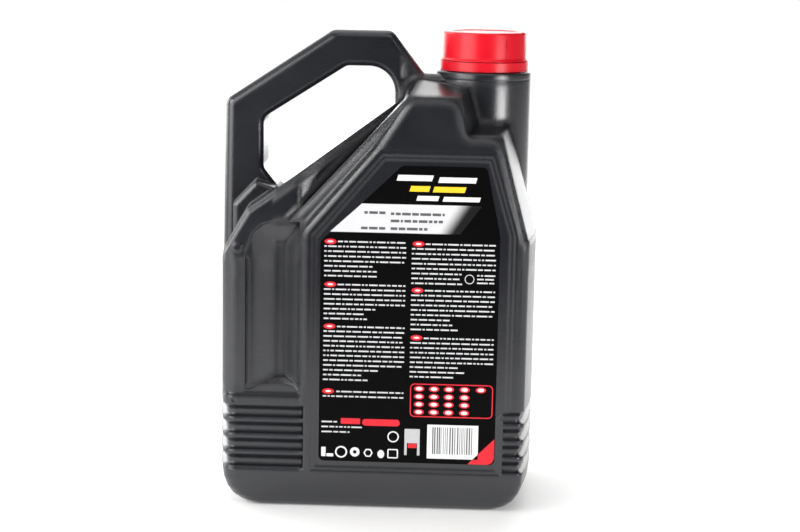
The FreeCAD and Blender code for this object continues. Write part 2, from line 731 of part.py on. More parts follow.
def tube(name, across, low, high, radius):
    """Upright cylinder."""
    body = newBody(name)
    sketch = newSketch(body, name + "Circle", "XY_Plane", low)
    circle(sketch, across, zero, radius)
    return body, extrude(body, name + "Cylinder", sketch, high - low)


def gripCutter(name, grow):
    """Finger recess on both faces: a sloping trough with slanted ends."""
    far = S.frontReach * 2.0
    trough = newBody(name + "Trough")
    sketch = newSketch(trough, name + "Section", "XY_Plane", S.gripBottom - grow)
    shape = [
        (S.gripLeft - grow, far),
        (S.gripLeft - grow, S.torsoReach - S.gripLip - grow),
        (S.gripLeft + S.gripLipWidth - grow, S.torsoReach - S.gripLip - grow),
        (S.gripDeepLeft - grow * 0.5, S.torsoReach - S.gripDepth - grow),
        (S.gripDeepRight + grow * 0.5, S.torsoReach - S.gripDepth - grow),
        (S.gripRight + grow, S.torsoReach - S.gripLip - grow),
        (S.gripRight + grow, far),
    ]
    loop(sketch, [(a, -b) for a, b in shape])
    loop(sketch, shape)
    extrude(trough, name + "Length", sketch, S.gripTop - S.gripBottom + grow * 2.0)
    side = newBody(name + "Side")
    sketch = newSketch(side, name + "Slopes", "YZ_Plane")
    slopes = [
        (far, S.gripBottom - grow),
        (S.torsoReach, S.gripBottom - grow),
        (S.torsoReach - S.gripDepth - grow - 1.0, S.gripBottom + S.gripSlope - grow),
        (S.torsoReach - S.gripDepth - grow - 1.0, S.gripTop - S.gripCrown + grow),
        (S.torsoReach, S.gripTop + grow),
        (far, S.gripTop + grow),
    ]
    loop(sketch, slopes)
    loop(sketch, [(-a, b) for a, b in slopes])
    extrude(side, name + "Sweep", sketch, far * 2.0, symmetric=True)
    front = newBody(name + "Front")
    sketch = newSketch(front, name + "Face", "XZ_Plane")
    loop(
        sketch,
        [
            (S.gripLeft - grow, S.gripBottom - grow),
            (S.gripLeft - grow, S.gripTop - 20.0),
            (S.gripLeft + 4.5 - grow, S.gripTop - 8.5 + grow),
            (S.gripLeft + 10.5 - grow, S.gripTop - 2.5 + grow),
            (S.gripLeft + 19.0, S.gripTop + grow),
            (S.gripRight + grow, S.gripTop + grow),
            (S.gripRight + grow, S.gripBottom - grow),
        ],
    )
    extrude(front, name + "Press", sketch, far * 2.0, symmetric=True)
    return joined(name, "Part::MultiCommon", trough, [side, front])


def ribCutter(name, reach, near, far, leftSide):
    """Four saw-tooth grooves round one side."""
    body = newBody(name)
    bottom = S.ribTop - S.ribSlope - S.ribFloor - S.ribLedge
    sketch = newSketch(body, name + "Block", "XY_Plane", bottom)
    deep = S.frontReach * 1.3
    loop(sketch, [(near, -deep), (far, -deep), (far, deep), (near, deep)])
    block = extrude(body, name + "Pad", sketch, S.ribTop - bottom)
    levels = [
        (bottom, zero),
        (bottom + S.ribLedge, S.ribDepth),
        (bottom + S.ribLedge + S.ribFloor, S.ribDepth),
        (S.ribTop, zero),
    ]
    sketches = []
    for i, (height, depth) in enumerate(levels):
        share = 1.0 if depth is zero else 0.62
        sketches.append(
            planSketch(
                body,
                "%sPlan%d" % (name, i),
                height,
                reach - depth,
                -S.sideReach + depth,
                S.sideReach - depth,
                S.bowRadius,
                S.leftCorner * share,
                S.rightCorner * share,
            )
        )
    loft = body.newObject("PartDesign::SubtractiveLoft", name + "Core")
    loft.Profile = sketches[0]
    loft.Sections = sketches[1:]
    loft.Ruled = True
    doc.recompute()
    pattern = body.newObject("PartDesign::LinearPattern", name + "Rows")
    pattern.Originals = [block, loft]
    axis = [item for item in body.Origin.OriginFeatures if item.Role == "Z_Axis"][0]
    pattern.Direction = (axis, [""])
    pattern.Reversed = True
    pattern.Occurrences = 4
    bind(pattern, "Length", S.ribPitch * 3.0)
    body.Tip = pattern
    doc.recompute()
    return body


def recessCutter(name, outline, depth):
    """Shallow field sunk into both faces of the panel."""
    far = S.frontReach * 1.2
    body, plate = slab(name, outline, far)
    sketch = newSketch(body, name + "Keep", "XZ_Plane")
    wide = S.sideReach * 2.0
    loop(sketch, [(-wide, -wide), (wide, -wide), (wide, S.handleTop), (-wide, S.handleTop)])
    extrude(body, name + "Middle", sketch, (S.frontReach - depth) * 2.0, symmetric=True, cut=True)
    return body


# Torso levels, outside.
torsoBody, torsoTrim = layer("torsoForm", S.torsoReach, torsoOutline, zero, S.baseHeight)
torsoTaper = taperCut(torsoBody, "torsoTaper", zero)


def onLedge(edge):
    """True for the front and back edges of the slope under the handle and of the left shoulder."""
    spots = ends(edge)
    if len(spots) < 2 or edge.BoundBox.XMax - edge.BoundBox.XMin < 1.0:
        return False
    if edge.BoundBox.ZMin < plain(S.chamferLowZ) or edge.BoundBox.YMin * edge.BoundBox.YMax < 0:
        return False
    if abs(spots[0].y) < plain(S.taperEnd) - 0.1 or edge.BoundBox.XMax > plain(S.ledgeRightX + S.ledgeRun) + 0.01:
        return False
    return all(aboveCut(spot) for spot in spots)


def aboveCut(spot):
    """True for a point on the top edge of the torso's outline left of the neck."""
    left = (plain(S.ledgeLeftX), plain(S.ledgeLeftZ))
    for other in ((plain(S.chamferLowX), plain(S.chamferLowZ)), (plain(S.ledgeRightX), plain(S.ledgeRightZ))):
        dx = other[0] - left[0]
        dz = other[1] - left[1]
        away = abs((spot.x - left[0]) * dz - (spot.z - left[1]) * dx) / math.hypot(dx, dz)
        if away < 0.01:
            return True
    return False


bevelled(torsoBody, "torsoLedge", torsoTaper, S.ledgeRound * 0.7, onLedge)
stepBody = shoulderForm("shoulderForm", zero)
panelBody, panelTrim = layer("panelForm", S.frontReach, panelOutline, zero, S.baseHeight)

blockOutline = [
    (-outer, S.baseHeight),
    (S.crestX + 8.0, S.baseHeight),
    (S.crestX + 8.0, S.blockTop),
    (-outer, S.blockTop),
]
blockBody, blockTrim = layer("blockForm", S.blockReach, blockOutline, zero, S.baseHeight)
baseBody = baseForm("baseForm", zero, zero)
doc.recompute()

# Handle loop, its root, the neck column and the threaded finish.
ringBody = ringForm("ringForm", zero, S.handleReach)


def rootOutline(thick):
    return inset(
        [
            (S.rootLeft, S.handleFoot),
            (S.rootLeft, S.rootShoulderZ),
            (S.rootPeakX, S.rootPeakZ),
            (S.rootRight, S.rootRightZ),
            (S.rootRight, S.handleFoot),
        ],
        thick,
    )


rootBody, rootPlate = slab("rootForm", rootOutline(zero), S.rootReach)
rounded(rootBody, "rootRims", rootPlate, S.rootRound, lambda edge: onPlane(edge, plain(S.rootReach)))
columnBody, column = tube("columnForm", S.neckX, S.columnLow, S.columnTop, S.columnRadius)
bevelled(
    columnBody,
    "columnRim",
    column,
    S.columnRound,
    lambda edge: abs(edge.BoundBox.ZMin - plain(S.columnTop)) < 1e-4,
)
finishBody, finish = tube("finishForm", S.neckX, S.columnTop - 2.0, S.finishTop, S.finishRadius)
beadBody, bead = tube("beadForm", S.neckX, S.beadLow, S.beadLow + S.beadHeight, S.beadRadius)

# Moulded marks near the left edge: a raised pip above, a thin ring below.
pipBody = newBody("pipForm")
pipSketch = newSketch(pipBody, "pipCircle", "XZ_Plane")
circle(pipSketch, S.pipX, S.pipZ, S.pipRadius)
pip = extrude(pipBody, "pipDisc", pipSketch, (S.torsoReach + S.pipRise) * 2.0, symmetric=True)
bevelled(
    pipBody,
    "pipEdge",
    pip,
    S.pipRise * 0.6,
    lambda edge: onPlane(edge, plain(S.torsoReach + S.pipRise)),
)
ringPipBody = newBody("ringPipForm")
ringPipSketch = newSketch(ringPipBody, "ringPipCircles", "XZ_Plane")
circle(ringPipSketch, S.ringPipX, S.ringPipZ, S.ringPipRadius)
circle(ringPipSketch, S.ringPipX, S.ringPipZ, S.ringPipRadius * 0.72)
extrude(ringPipBody, "ringPipDisc", ringPipSketch, (S.blockReach + S.pipRise * 0.5) * 2.0, symmetric=True)

# Everything the mould forms outside, then what it sinks in.
outside = joined(
    "outside",
    "Part::MultiFuse",
    torsoBody,
    [
        stepBody,
        panelBody,
        blockBody,
        baseBody,
        ringBody,
        rootBody,
        columnBody,
        finishBody,
        beadBody,
        pipBody,
        ringPipBody,
    ],
)
borderOutline = [
    (S.borderLeft, S.baseHeight),
    (S.borderLeft, S.borderLeftZ),
    (S.borderTopLeft, S.borderTop),
    (S.borderTopRight, S.borderTop),
    (S.borderRight, S.borderRightZ),
    (S.borderRight, S.borderLow),
    (S.borderRib, S.borderLow - 4.0),
    (S.borderRib, S.baseHeight),
]
border = recessCutter("borderCutter", borderOutline, S.borderStep)
field = recessCutter("fieldCutter", inset(borderOutline, S.borderWidth), S.borderStep * 2.0)
grip = gripCutter("gripCutter", zero)
leftRibs = ribCutter("leftRibs", S.blockReach, -outer, S.ribLeftEnd, True)
rightRibs = ribCutter("rightRibs", S.frontReach, S.ribRightEnd, outer, False)
footBody = newBody("footCutter")
footSketch = newSketch(footBody, "footOutline", "XY_Plane")
loop(
    footSketch,
    [
        (-S.footSide, -S.footDepth),
        (S.footSide, -S.footDepth),
        (S.footSide, S.footDepth),
        (-S.footSide, S.footDepth),
    ],
)
extrude(footBody, "footPad", footSketch, S.footRise)
sunk = joined("sunk", "Part::MultiFuse", border, [field, grip, leftRibs, rightRibs, footBody])
skin = joined("skin", "Part::Cut", outside, sunk)

# The hollow inside, one wall thickness in from every form.
deepWall = S.ribDepth + S.wall
torsoVoid, voidTrim = layer("torsoVoid", S.torsoReach, inset(torsoOutline, S.wall), S.wall, S.ribTop + S.wall)
taperCut(torsoVoid, "torsoVoidTaper", S.wall)
rowVoid = newBody("rowVoid")
rowPlan = planSketch(
    rowVoid,
    "rowVoidPlan",
    S.baseHeight - 2.0,
    S.torsoReach - deepWall,
    -S.sideReach + deepWall + 1.0,
    S.sideReach - deepWall - 1.0,
    S.bowRadius,
    S.leftCorner * 0.7,
    S.rightCorner * 0.7,
)
extrude(rowVoid, "rowVoidPad", rowPlan, S.ribTop + S.wall * 2.0 - S.baseHeight + 2.0)
panelInside = [
    (S.crestX, S.baseHeight),
    (S.borderRib, S.baseHeight),
    (S.borderRib, S.ribTop + 2.0),
    (S.crestLowX - 4.0, S.ribTop + 6.0),
] + crest[3:]
panelInside = eased(panelInside, {5: S.easeEnd, 7: S.easeBrow}, 2)
panelVoid, panelPlate = slab(
    "panelVoid", inset(panelInside, S.wall), S.frontReach - S.borderStep * 2.0 - S.wall
)
stepVoid = shoulderForm("shoulderVoid", S.wall)
baseVoid = baseForm("baseVoid", deepWall, S.footRise + S.wall)
ringVoid = ringForm("ringVoid", S.wall, S.handleReach)
rootVoid, rootVoidPlate = slab("rootVoid", rootOutline(S.wall), S.rootReach - S.wall)
columnVoid, columnInside = tube(
    "columnVoid", S.neckX, S.columnLow, S.columnTop - S.wall, S.columnRadius - S.wall
)
boreVoid, bore = tube("boreVoid", S.neckX, S.columnTop - S.wall * 2.0, S.finishTop + 1.0, S.boreRadius)
hollowBlank = joined(
    "hollowBlank",
    "Part::MultiFuse",
    torsoVoid,
    [rowVoid, panelVoid, stepVoid, baseVoid, ringVoid, rootVoid, columnVoid, boreVoid],
)
gripKeep = gripCutter("gripKeep", S.wall)
hollow = joined("hollow", "Part::Cut", hollowBlank, gripKeep)
bottle = joined("bottle", "Part::Cut", skin, hollow)
bottle.Label = "bottle"

# Label film in its recess.
label = newBody("label")
labelSketch = newSketch(label, "labelOutline", "XZ_Plane", S.frontReach - S.borderStep * 2.0)
labelOutline = [
    (S.labelLeft, S.labelBottom),
    (S.labelRight, S.labelBottom),
    (S.labelRight, S.labelRightZ),
    (S.labelTopRight, S.labelTop),
    (S.labelTopLeft, S.labelTop),
    (S.labelLeft, S.labelLeftZ),
]
loop(labelSketch, labelOutline)
labelPad = extrude(label, "labelFilmPad", labelSketch, S.labelFilm)
rounded(
    label,
    "labelCorners",
    labelPad,
    S.labelRound,
    lambda edge: edge.BoundBox.YMax - edge.BoundBox.YMin > plain(S.labelFilm) * 0.9
    and edge.BoundBox.XMax - edge.BoundBox.XMin < 1e-4,
)


def onNeck(name):
    body = newBody(name)
    body.Placement = FreeCAD.Placement(vec(plain(S.neckX), 0, 0), FreeCAD.Rotation())
    body.setExpression(".Placement.Base.x", S.neckX.text)
    return body


def turned(name, outline):
    """Ring turned from a half section about the neck's axis."""
    body = onNeck(name)
    sketch = newSketch(body, name + "Section", "XZ_Plane")
    loop(sketch, outline)
    item = body.newObject("PartDesign::Revolution", name + "Turn")
    item.Profile = sketch
    item.ReferenceAxis = (sketch, ["V_Axis"])
    item.Angle = 360.0
    doc.recompute()
    return body, item


# Cap, its liner and the tamper ring left on the neck.
capTopRadius = S.capRadius - S.capTaper
cap, capTurn = turned(
    "cap",
    [
        (S.capBore, S.capLow),
        (S.capRadius + S.capFlare, S.capLow),
        (S.capRadius + S.capFlare, S.capLow + S.capSkirt),
        (S.capRadius, S.capLow + S.capSkirt + S.capFlare * 1.6),
        (capTopRadius, S.capHigh),
        (S.capDishRadius, S.capHigh),
        (S.capDishRadius - S.capDish, S.capHigh - S.capDish),
        (zero, S.capHigh - S.capDish),
        (zero, S.capHigh - S.capPlate),
        (S.capBore, S.capHigh - S.capPlate),
    ],
)
capSoft = rounded(
    cap,
    "capEdge",
    capTurn,
    S.capRound,
    lambda edge: abs(edge.BoundBox.ZMin - plain(S.capHigh)) < 1e-4
    and edge.BoundBox.XMax > plain(S.capDishRadius) + 1.0,
)
notchSketch = newSketch(cap, "capNotchCircle", "XY_Plane", S.capHigh - S.capNotchDepth)
circle(notchSketch, S.capNotchX, S.capNotchY, S.capNotch)
extrude(cap, "capNotchCut", notchSketch, S.capNotchDepth * 2.0, reverse=True, cut=True)
seatHeight = S.finishTop + S.flangeHeight
liner, linerTurn = turned(
    "cap_liner",
    [
        (zero, seatHeight),
        (S.linerRadius, seatHeight),
        (S.linerRadius, seatHeight + S.linerHeight),
        (zero, seatHeight + S.linerHeight),
    ],
)
lipBore = S.finishRadius + S.runningFit
ring, ringTurn = turned(
    "tamper_ring",
    [
        (lipBore, S.ringLow),
        (S.ringRadius, S.ringLow),
        (S.ringRadius, S.ringHigh),
        (S.ringBore, S.ringHigh),
        (S.ringBore, S.ringLow + S.ringLip),
        (lipBore, S.ringLow + S.ringLip),
    ],
)
bridgeSketch = newSketch(ring, "bridgeCircle", "XY_Plane", S.ringHigh)
circle(bridgeSketch, (S.ringBore + S.capRadius) / 2.0, zero, S.bridgeRadius)
bridge = extrude(ring, "bridgeStub", bridgeSketch, S.bridgeHeight)
bridges = ring.newObject("PartDesign::PolarPattern", "bridgeStubs")
bridges.Originals = [bridge]
axis = [item for item in ring.Origin.OriginFeatures if item.Role == "Z_Axis"][0]
bridges.Axis = (axis, [""])
bridges.Angle = 360.0
bridges.Occurrences = 8
ring.Tip = bridges
doc.recompute()

# Pull-out spout in the neck: collar, tube and its seal with a ring pull.
collarOut = S.boreRadius - S.collarFit
collarIn = collarOut - S.collarWall
guide = S.tubeRadius + S.runningFit
collar, collarTurn = turned(
    "spout_collar",
    [
        (collarIn, S.collarLow),
        (collarOut, S.collarLow),
        (collarOut, S.finishTop),
        (S.flangeRadius, S.finishTop),
        (S.flangeRadius, seatHeight),
        (guide, seatHeight),
        (guide, seatHeight - S.collarLip),
        (collarIn, seatHeight - S.collarLip - 0.8),
    ],
)
tubeIn = S.tubeRadius - S.tubeWall
tubeTop = seatHeight - S.tubeDrop
spout, spoutTurn = turned(
    "spout_tube",
    [
        (tubeIn, S.tubeLow),
        (S.tubeRadius + S.tubeStop, S.tubeLow),
        (S.tubeRadius + S.tubeStop, S.tubeLow + S.tubeRise),
        (S.tubeRadius, S.tubeLow + S.tubeRise + S.tubeStop),
        (S.tubeRadius, tubeTop),
        (tubeIn, tubeTop),
    ],
)
cup = tubeIn - S.runningFit
floorTop = tubeTop - S.sealDepth + S.sealWall
seal, sealTurn = turned(
    "spout_seal",
    [
        (zero, tubeTop - S.sealDepth),
        (cup, tubeTop - S.sealDepth),
        (cup, tubeTop),
        (S.tubeRadius - 0.2, tubeTop),
        (S.tubeRadius - 0.2, tubeTop + S.sealRim),
        (cup - S.sealWall, tubeTop + S.sealRim),
        (cup - S.sealWall, floorTop),
        (zero, floorTop),
    ],
)
pull = seal.newObject("PartDesign::AdditiveTorus", "pullRing")
bind(pull, "Radius1", S.pullRadius)
bind(pull, "Radius2", S.pullBar)
pull.Placement = FreeCAD.Placement(vec(plain(S.pullShift), 0, plain(floorTop + S.pullHeight)), FreeCAD.Rotation())
pull.setExpression(".Placement.Base.x", S.pullShift.text)
pull.setExpression(".Placement.Base.z", (floorTop + S.pullHeight).text)
doc.recompute()
postSketch = newSketch(seal, "postCircle", "XY_Plane", floorTop)
circle(postSketch, S.pullShift - S.pullRadius, zero, S.pullBar)
extrude(seal, "pullPost", postSketch, S.pullHeight)

doc.recompute()
for item in doc.Objects:
    if "Invalid" in item.State or "Error" in item.State:
        raise RuntimeError("%s did not build: %s" % (item.Name, item.getStatusString()))
os.makedirs("parts", exist_ok=True)
for item in (bottle, label, cap, liner, ring, collar, spout, seal):
    if item.Shape.isNull() or not item.Shape.isValid() or len(item.Shape.Solids) != 1:
        raise RuntimeError(item.Label + " is not one valid solid")
    item.Shape.exportStep("parts/%s.step" % item.Label)
    print(item.Label, round(item.Shape.Volume), item.Shape.optimalBoundingBox())
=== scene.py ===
import bpy
import math
import random
from mathutils import Matrix, Vector


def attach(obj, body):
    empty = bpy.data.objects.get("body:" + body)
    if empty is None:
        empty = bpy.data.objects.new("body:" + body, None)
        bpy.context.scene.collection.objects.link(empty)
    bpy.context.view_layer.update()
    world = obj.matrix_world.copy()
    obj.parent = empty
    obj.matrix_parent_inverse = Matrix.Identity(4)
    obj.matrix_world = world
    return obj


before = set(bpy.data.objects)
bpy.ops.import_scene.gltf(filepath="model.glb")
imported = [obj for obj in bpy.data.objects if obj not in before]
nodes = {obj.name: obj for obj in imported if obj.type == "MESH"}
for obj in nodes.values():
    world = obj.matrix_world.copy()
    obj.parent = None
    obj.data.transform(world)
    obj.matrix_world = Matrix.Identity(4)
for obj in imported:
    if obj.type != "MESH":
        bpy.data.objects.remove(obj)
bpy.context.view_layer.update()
mm = 0.001
neckX = 65.6
print("frame loaded:", sorted(nodes))

# Camera where the photograph's own perspective puts it.
camera = {
    "place": (58.4, -1237.9, 369.3),
    "turn": 2.08,
    "dip": 10.02,
    "roll": 1.05,
    "focal": 85.5,
    "sensor": 36.0,
    "near": 0.05,
    "far": 20.0,
}


def makeCamera(facts):
    turn, dip, roll = (math.radians(facts[key]) for key in ("turn", "dip", "roll"))
    ahead = Vector((-math.sin(turn) * math.cos(dip), math.cos(turn) * math.cos(dip), -math.sin(dip)))
    right = Vector((math.cos(turn), math.sin(turn), 0.0))
    up = right.cross(ahead)
    rightRolled = right * math.cos(roll) + up * math.sin(roll)
    upRolled = up * math.cos(roll) - right * math.sin(roll)
    lens = bpy.data.cameras.new("photoCamera")
    lens.lens = facts["focal"]
    lens.sensor_width = facts["sensor"]
    lens.sensor_fit = "HORIZONTAL"
    lens.clip_start = facts["near"]
    lens.clip_end = facts["far"]
    eye = bpy.data.objects.new("photoCamera", lens)
    bpy.context.scene.collection.objects.link(eye)
    grid = Matrix((rightRolled, upRolled, -ahead)).transposed().to_4x4()
    grid.translation = Vector(facts["place"]) * mm
    eye.matrix_world = grid
    bpy.context.scene.camera = eye


makeCamera(camera)
bpy.context.scene.view_settings.view_transform = "Standard"
print("camera set")


# Shader maths: a Wire is a socket that can be added, subtracted and multiplied.
class Wire:
    def __init__(self, net, socket):
        self.net = net
        self.socket = socket

    def maths(self, operation, *others, swap=False):
        inputs = [self] + list(others)
        if swap:
            inputs = list(others) + [self]
        return self.net.node("ShaderNodeMath", {"operation": operation}, dict(enumerate(inputs)))[0]

    def __add__(self, other):
        return self.maths("ADD", other)

    def __radd__(self, other):
        return self.maths("ADD", other, swap=True)

    def __sub__(self, other):
        return self.maths("SUBTRACT", other)

    def __rsub__(self, other):
        return self.maths("SUBTRACT", other, swap=True)

    def __mul__(self, other):
        return self.maths("MULTIPLY", other)

    def __rmul__(self, other):
        return self.maths("MULTIPLY", other, swap=True)

    def size(self):
        return self.maths("ABSOLUTE")

    def most(self, other):
        return self.maths("MAXIMUM", other)

    def ramp(self, low, high, start=0.0, end=1.0):
        sockets = {"Value": self, "From Min": low, "From Max": high, "To Min": start, "To Max": end}
        return self.net.node("ShaderNodeMapRange", {"interpolation_type": "SMOOTHSTEP"}, sockets)[0]


class Net:
    def __init__(self, tree):
        self.tree = tree
        tree.nodes.clear()

    def node(self, kind, settings=None, sockets=None):
        made = self.tree.nodes.new(kind)
        for key, value in (settings or {}).items():
            setattr(made, key, value)
        for key, value in (sockets or {}).items():
            socket = made.inputs[key]
            if isinstance(value, Wire):
                self.tree.links.new(value.socket, socket)
            else:
                socket.default_value = value
        return [Wire(self, socket) for socket in made.outputs]

    # Object coordinates, so that a pattern stays on its piece.
    def place(self):
        return self.node("ShaderNodeTexCoord")[3]

    # Whether a ray comes from the camera, from a mirroring surface or through a clear one.
    def rays(self):
        kinds = self.node("ShaderNodeLightPath")
        return kinds[0], kinds[3], kinds[6]

    def axes(self):
        return self.node("ShaderNodeSeparateXYZ", None, {0: self.place()})

    def noise(self, scale, detail, rough, stretch=None):
        where = self.place()
        if stretch:
            where = self.node("ShaderNodeMapping", None, {"Vector": where, "Scale": stretch})[0]
        sockets = {"Vector": where, "Scale": scale, "Detail": detail, "Roughness": rough}
        return self.node("ShaderNodeTexNoise", None, sockets)[0]

    def tint(self, share, first, second):
        sockets = {"Factor": share, 6: first, 7: second}
        return self.node("ShaderNodeMix", {"data_type": "RGBA"}, sockets)[2]

    def blend(self, share, first, second):
        sockets = {"Factor": share, 4: first, 5: second}
        return self.node("ShaderNodeMix", {"data_type": "VECTOR"}, sockets)[1]

    def bump(self, height, depth, under=None):
        sockets = {"Height": height, "Distance": depth, "Strength": 1.0}
        if under is not None:
            sockets["Normal"] = under
        return self.node("ShaderNodeBump", None, sockets)[0]


def newFinish(name):
    stuff = bpy.data.materials.new(name)
    stuff.use_nodes = True
    return stuff, Net(stuff.node_tree)


def finishWith(net, shader):
    net.node("ShaderNodeOutputMaterial", None, {"Surface": shader})


# The blown forms round the panel are softer than the panel's own border, the ribs, the neck and the handle.
def blownShare(x, z, edges):
    beyondLeft = (x * -1.0).ramp(*edges["left"])
    beyondSlope = (z - x * edges["slopeRise"]).ramp(*edges["slope"])
    beyondTop = z.ramp(*edges["top"])
    beyondRight = (x + (z - edges["rightBend"]).most(0.0) * edges["rightLean"]).ramp(*edges["right"])
    around = beyondLeft.most(beyondSlope).most(beyondTop).most(beyondRight) * z.ramp(*edges["ribs"])
    handle = (z - x * edges["handleRise"]).ramp(*edges["handle"]) * x.ramp(*edges["handleEnd"], 1.0, 0.0)
    neck = x.ramp(*edges["neck"]) * z.ramp(*edges["neckFoot"])
    root = x.ramp(*edges["root"], 1.0, 0.0) * z.ramp(*edges["rootFoot"])
    return around * (1.0 - handle) * (1.0 - neck) * (1.0 - root)


def blackPolyethylene(facts):
    stuff, net = newFinish("blackPolyethylene")
    x, y, z = net.axes()
    cloud = net.noise(*facts["cloudNoise"])
    grain = net.noise(*facts["grainNoise"])
    wave = net.noise(*facts["waveNoise"])
    rub = net.noise(*facts["rubNoise"])
    crisp = net.node("ShaderNodeBevel", {"samples": facts["softSamples"]}, {"Radius": facts["soft"]})[0]
    broad = net.node("ShaderNodeBevel", {"samples": facts["broadSamples"]}, {"Radius": facts["broad"]})[0]
    soft = net.blend(blownShare(x, z, facts["blown"]), crisp, broad)
    seam = y.size().ramp(*facts["seamEdge"], 1.0, 0.0)
    height = grain * facts["grain"] + wave * facts["wave"] + seam * facts["seam"]
    normal = net.bump(height, 1.0, soft)
    colour = net.tint(cloud.ramp(*facts["cloudRange"]), facts["dark"], facts["light"])
    rough = cloud * facts["cloudRough"] + rub * facts["rubRough"] + facts["rough"]
    shader = net.node(
        "ShaderNodeBsdfPrincipled",
        None,
        {
            "Base Color": colour,
            "Roughness": rough,
            "Normal": normal,
            "IOR": 1.5,
            "Specular IOR Level": facts["gloss"],
        },
    )[0]
    finishWith(net, shader)
    return stuff


def labelFilm(facts):
    stuff, net = newFinish("labelFilm")
    cloud = net.noise(*facts["cloudNoise"])
    ripple = net.noise(*facts["rippleNoise"])
    colour = net.tint(cloud, facts["dark"], facts["light"])
    shader = net.node(
        "ShaderNodeBsdfPrincipled",
        None,
        {
            "Base Color": colour,
            "Roughness": cloud * facts["cloudRough"] + facts["rough"],
            "Normal": net.bump(ripple, facts["ripple"]),
            "IOR": 1.48,
            "Specular IOR Level": facts["gloss"],
        },
    )[0]
    finishWith(net, shader)
    return stuff


def ink(name, colour, rough=0.32, fade=None):
    stuff, net = newFinish(name)
    x, y, z = net.axes()
    cloud = net.noise(*printFilm["cloudNoise"])
    shade = [part * printFilm["shade"] for part in colour[:3]] + [1.0]
    worn = net.tint(cloud.ramp(*printFilm["cloudRange"]) * printFilm["worn"], colour, shade)
    if fade:
        slope = x + z * fade["lean"]
        worn = net.tint(slope.ramp(fade["start"], fade["end"]), worn, fade["into"])
    shader = net.node(
        "ShaderNodeBsdfPrincipled",
        None,
        {"Base Color": worn, "Roughness": cloud * printFilm["cloudRough"] + rough, "IOR": 1.48},
    )[0]
    finishWith(net, shader)
    return stuff


def redPolypropylene(facts):
    stuff, net = newFinish("redPolypropylene")
    x, y, z = net.axes()
    cloud = net.noise(*facts["cloudNoise"])
    grain = net.noise(*facts["grainNoise"])
    across = x - neckX * mm
    angle = across.maths("ARCTAN2", y * -1.0)
    line = (angle - math.radians(facts["lineAngle"])).size().ramp(*facts["lineEdge"], 1.0, 0.0)
    above = z.ramp(facts["lineLow"] - facts["lineFade"], facts["lineLow"])
    below = z.ramp(facts["lineHigh"], facts["lineHigh"] + facts["lineFade"], 1.0, 0.0)
    span = above * below
    soft = net.node("ShaderNodeBevel", {"samples": facts["softSamples"]}, {"Radius": facts["soft"]})[0]
    height = grain * facts["grain"] - line * span * facts["lineDepth"]
    shader = net.node(
        "ShaderNodeBsdfPrincipled",
        None,
        {
            "Base Color": net.tint(cloud, facts["dark"], facts["light"]),
            "Roughness": cloud * facts["cloudRough"] + facts["rough"],
            "Normal": net.bump(height, 1.0, soft),
            "IOR": 1.49,
            "Specular IOR Level": facts["gloss"],
            "Subsurface Weight": facts["glow"],
            "Subsurface Radius": (0.004, 0.0006, 0.0006),
            "Subsurface Scale": 1.0,
        },
    )[0]
    finishWith(net, shader)
    return stuff


def naturalPolyethylene(facts):
    stuff, net = newFinish("naturalPolyethylene")
    cloud = net.noise(*facts["cloudNoise"])
    grain = net.noise(*facts["grainNoise"])
    shader = net.node(
        "ShaderNodeBsdfPrincipled",
        None,
        {
            "Base Color": net.tint(cloud, facts["dark"], facts["light"]),
            "Roughness": cloud * facts["cloudRough"] + facts["rough"],
            "Normal": net.bump(grain, facts["grain"]),
            "IOR": 1.51,
            "Subsurface Weight": 0.3,
            "Subsurface Radius": (0.003, 0.003, 0.0025),
            "Subsurface Scale": 1.0,
        },
    )[0]
    finishWith(net, shader)
    return stuff


def linerFoam(facts):
    stuff, net = newFinish("linerFoam")
    cell = net.node("ShaderNodeTexVoronoi", None, {"Vector": net.place(), "Scale": facts["cells"]})[0]
    shader = net.node(
        "ShaderNodeBsdfPrincipled",
        None,
        {
            "Base Color": net.tint(cell, facts["light"], facts["dark"]),
            "Roughness": cell * facts["cellRough"] + facts["rough"],
            "Normal": net.bump(cell, facts["depth"]),
        },
    )[0]
    finishWith(net, shader)
    return stuff


plastic = {
    "dark": (0.0070, 0.0078, 0.0110, 1.0),
    "light": (0.0110, 0.0120, 0.0155, 1.0),
    "rough": 0.18,
    "gloss": 0.8,
    "soft": 0.0024,
    "softSamples": 6,
    "broad": 0.0075,
    "broadSamples": 8,
    "grain": 0.00006,
    "wave": 0.00006,
    "seam": 0.00005,
    "seamEdge": (0.00012, 0.0004),
    "cloudNoise": (22.0, 4.0, 0.6),
    "grainNoise": (950.0, 2.0, 0.65),
    "waveNoise": (34.0, 2.0, 0.4, (1.0, 1.0, 0.55)),
    "rubNoise": (900.0, 3.0, 0.7, (1.0, 1.0, 0.12)),
    "cloudRange": (0.3, 0.75),
    "cloudRough": 0.08,
    "rubRough": 0.05,
    "blown": {
        "left": (0.0415, 0.0440),
        "slope": (0.2294, 0.2324),
        "slopeRise": 1.192,
        "top": (0.2325, 0.2350),
        "right": (0.0885, 0.0905),
        "rightBend": 0.1815,
        "rightLean": 0.301,
        "ribs": (0.0785, 0.0820),
        "handle": (0.2540, 0.2570),
        "handleRise": 0.7168,
        "handleEnd": (0.008, 0.014),
        "neck": (0.030, 0.032),
        "neckFoot": (0.2745, 0.2760),
        "root": (-0.068, -0.062),
        "rootFoot": (0.160, 0.166),
    },
}
film = {
    "dark": (0.0015, 0.0015, 0.0017, 1.0),
    "light": (0.0024, 0.0024, 0.0027, 1.0),
    "rough": 0.36,
    "cloudNoise": (60.0, 3.0, 0.6),
    "cloudRough": 0.06,
    "rippleNoise": (120.0, 2.0, 0.5),
    "ripple": 0.00001,
    "gloss": 0.06,
}
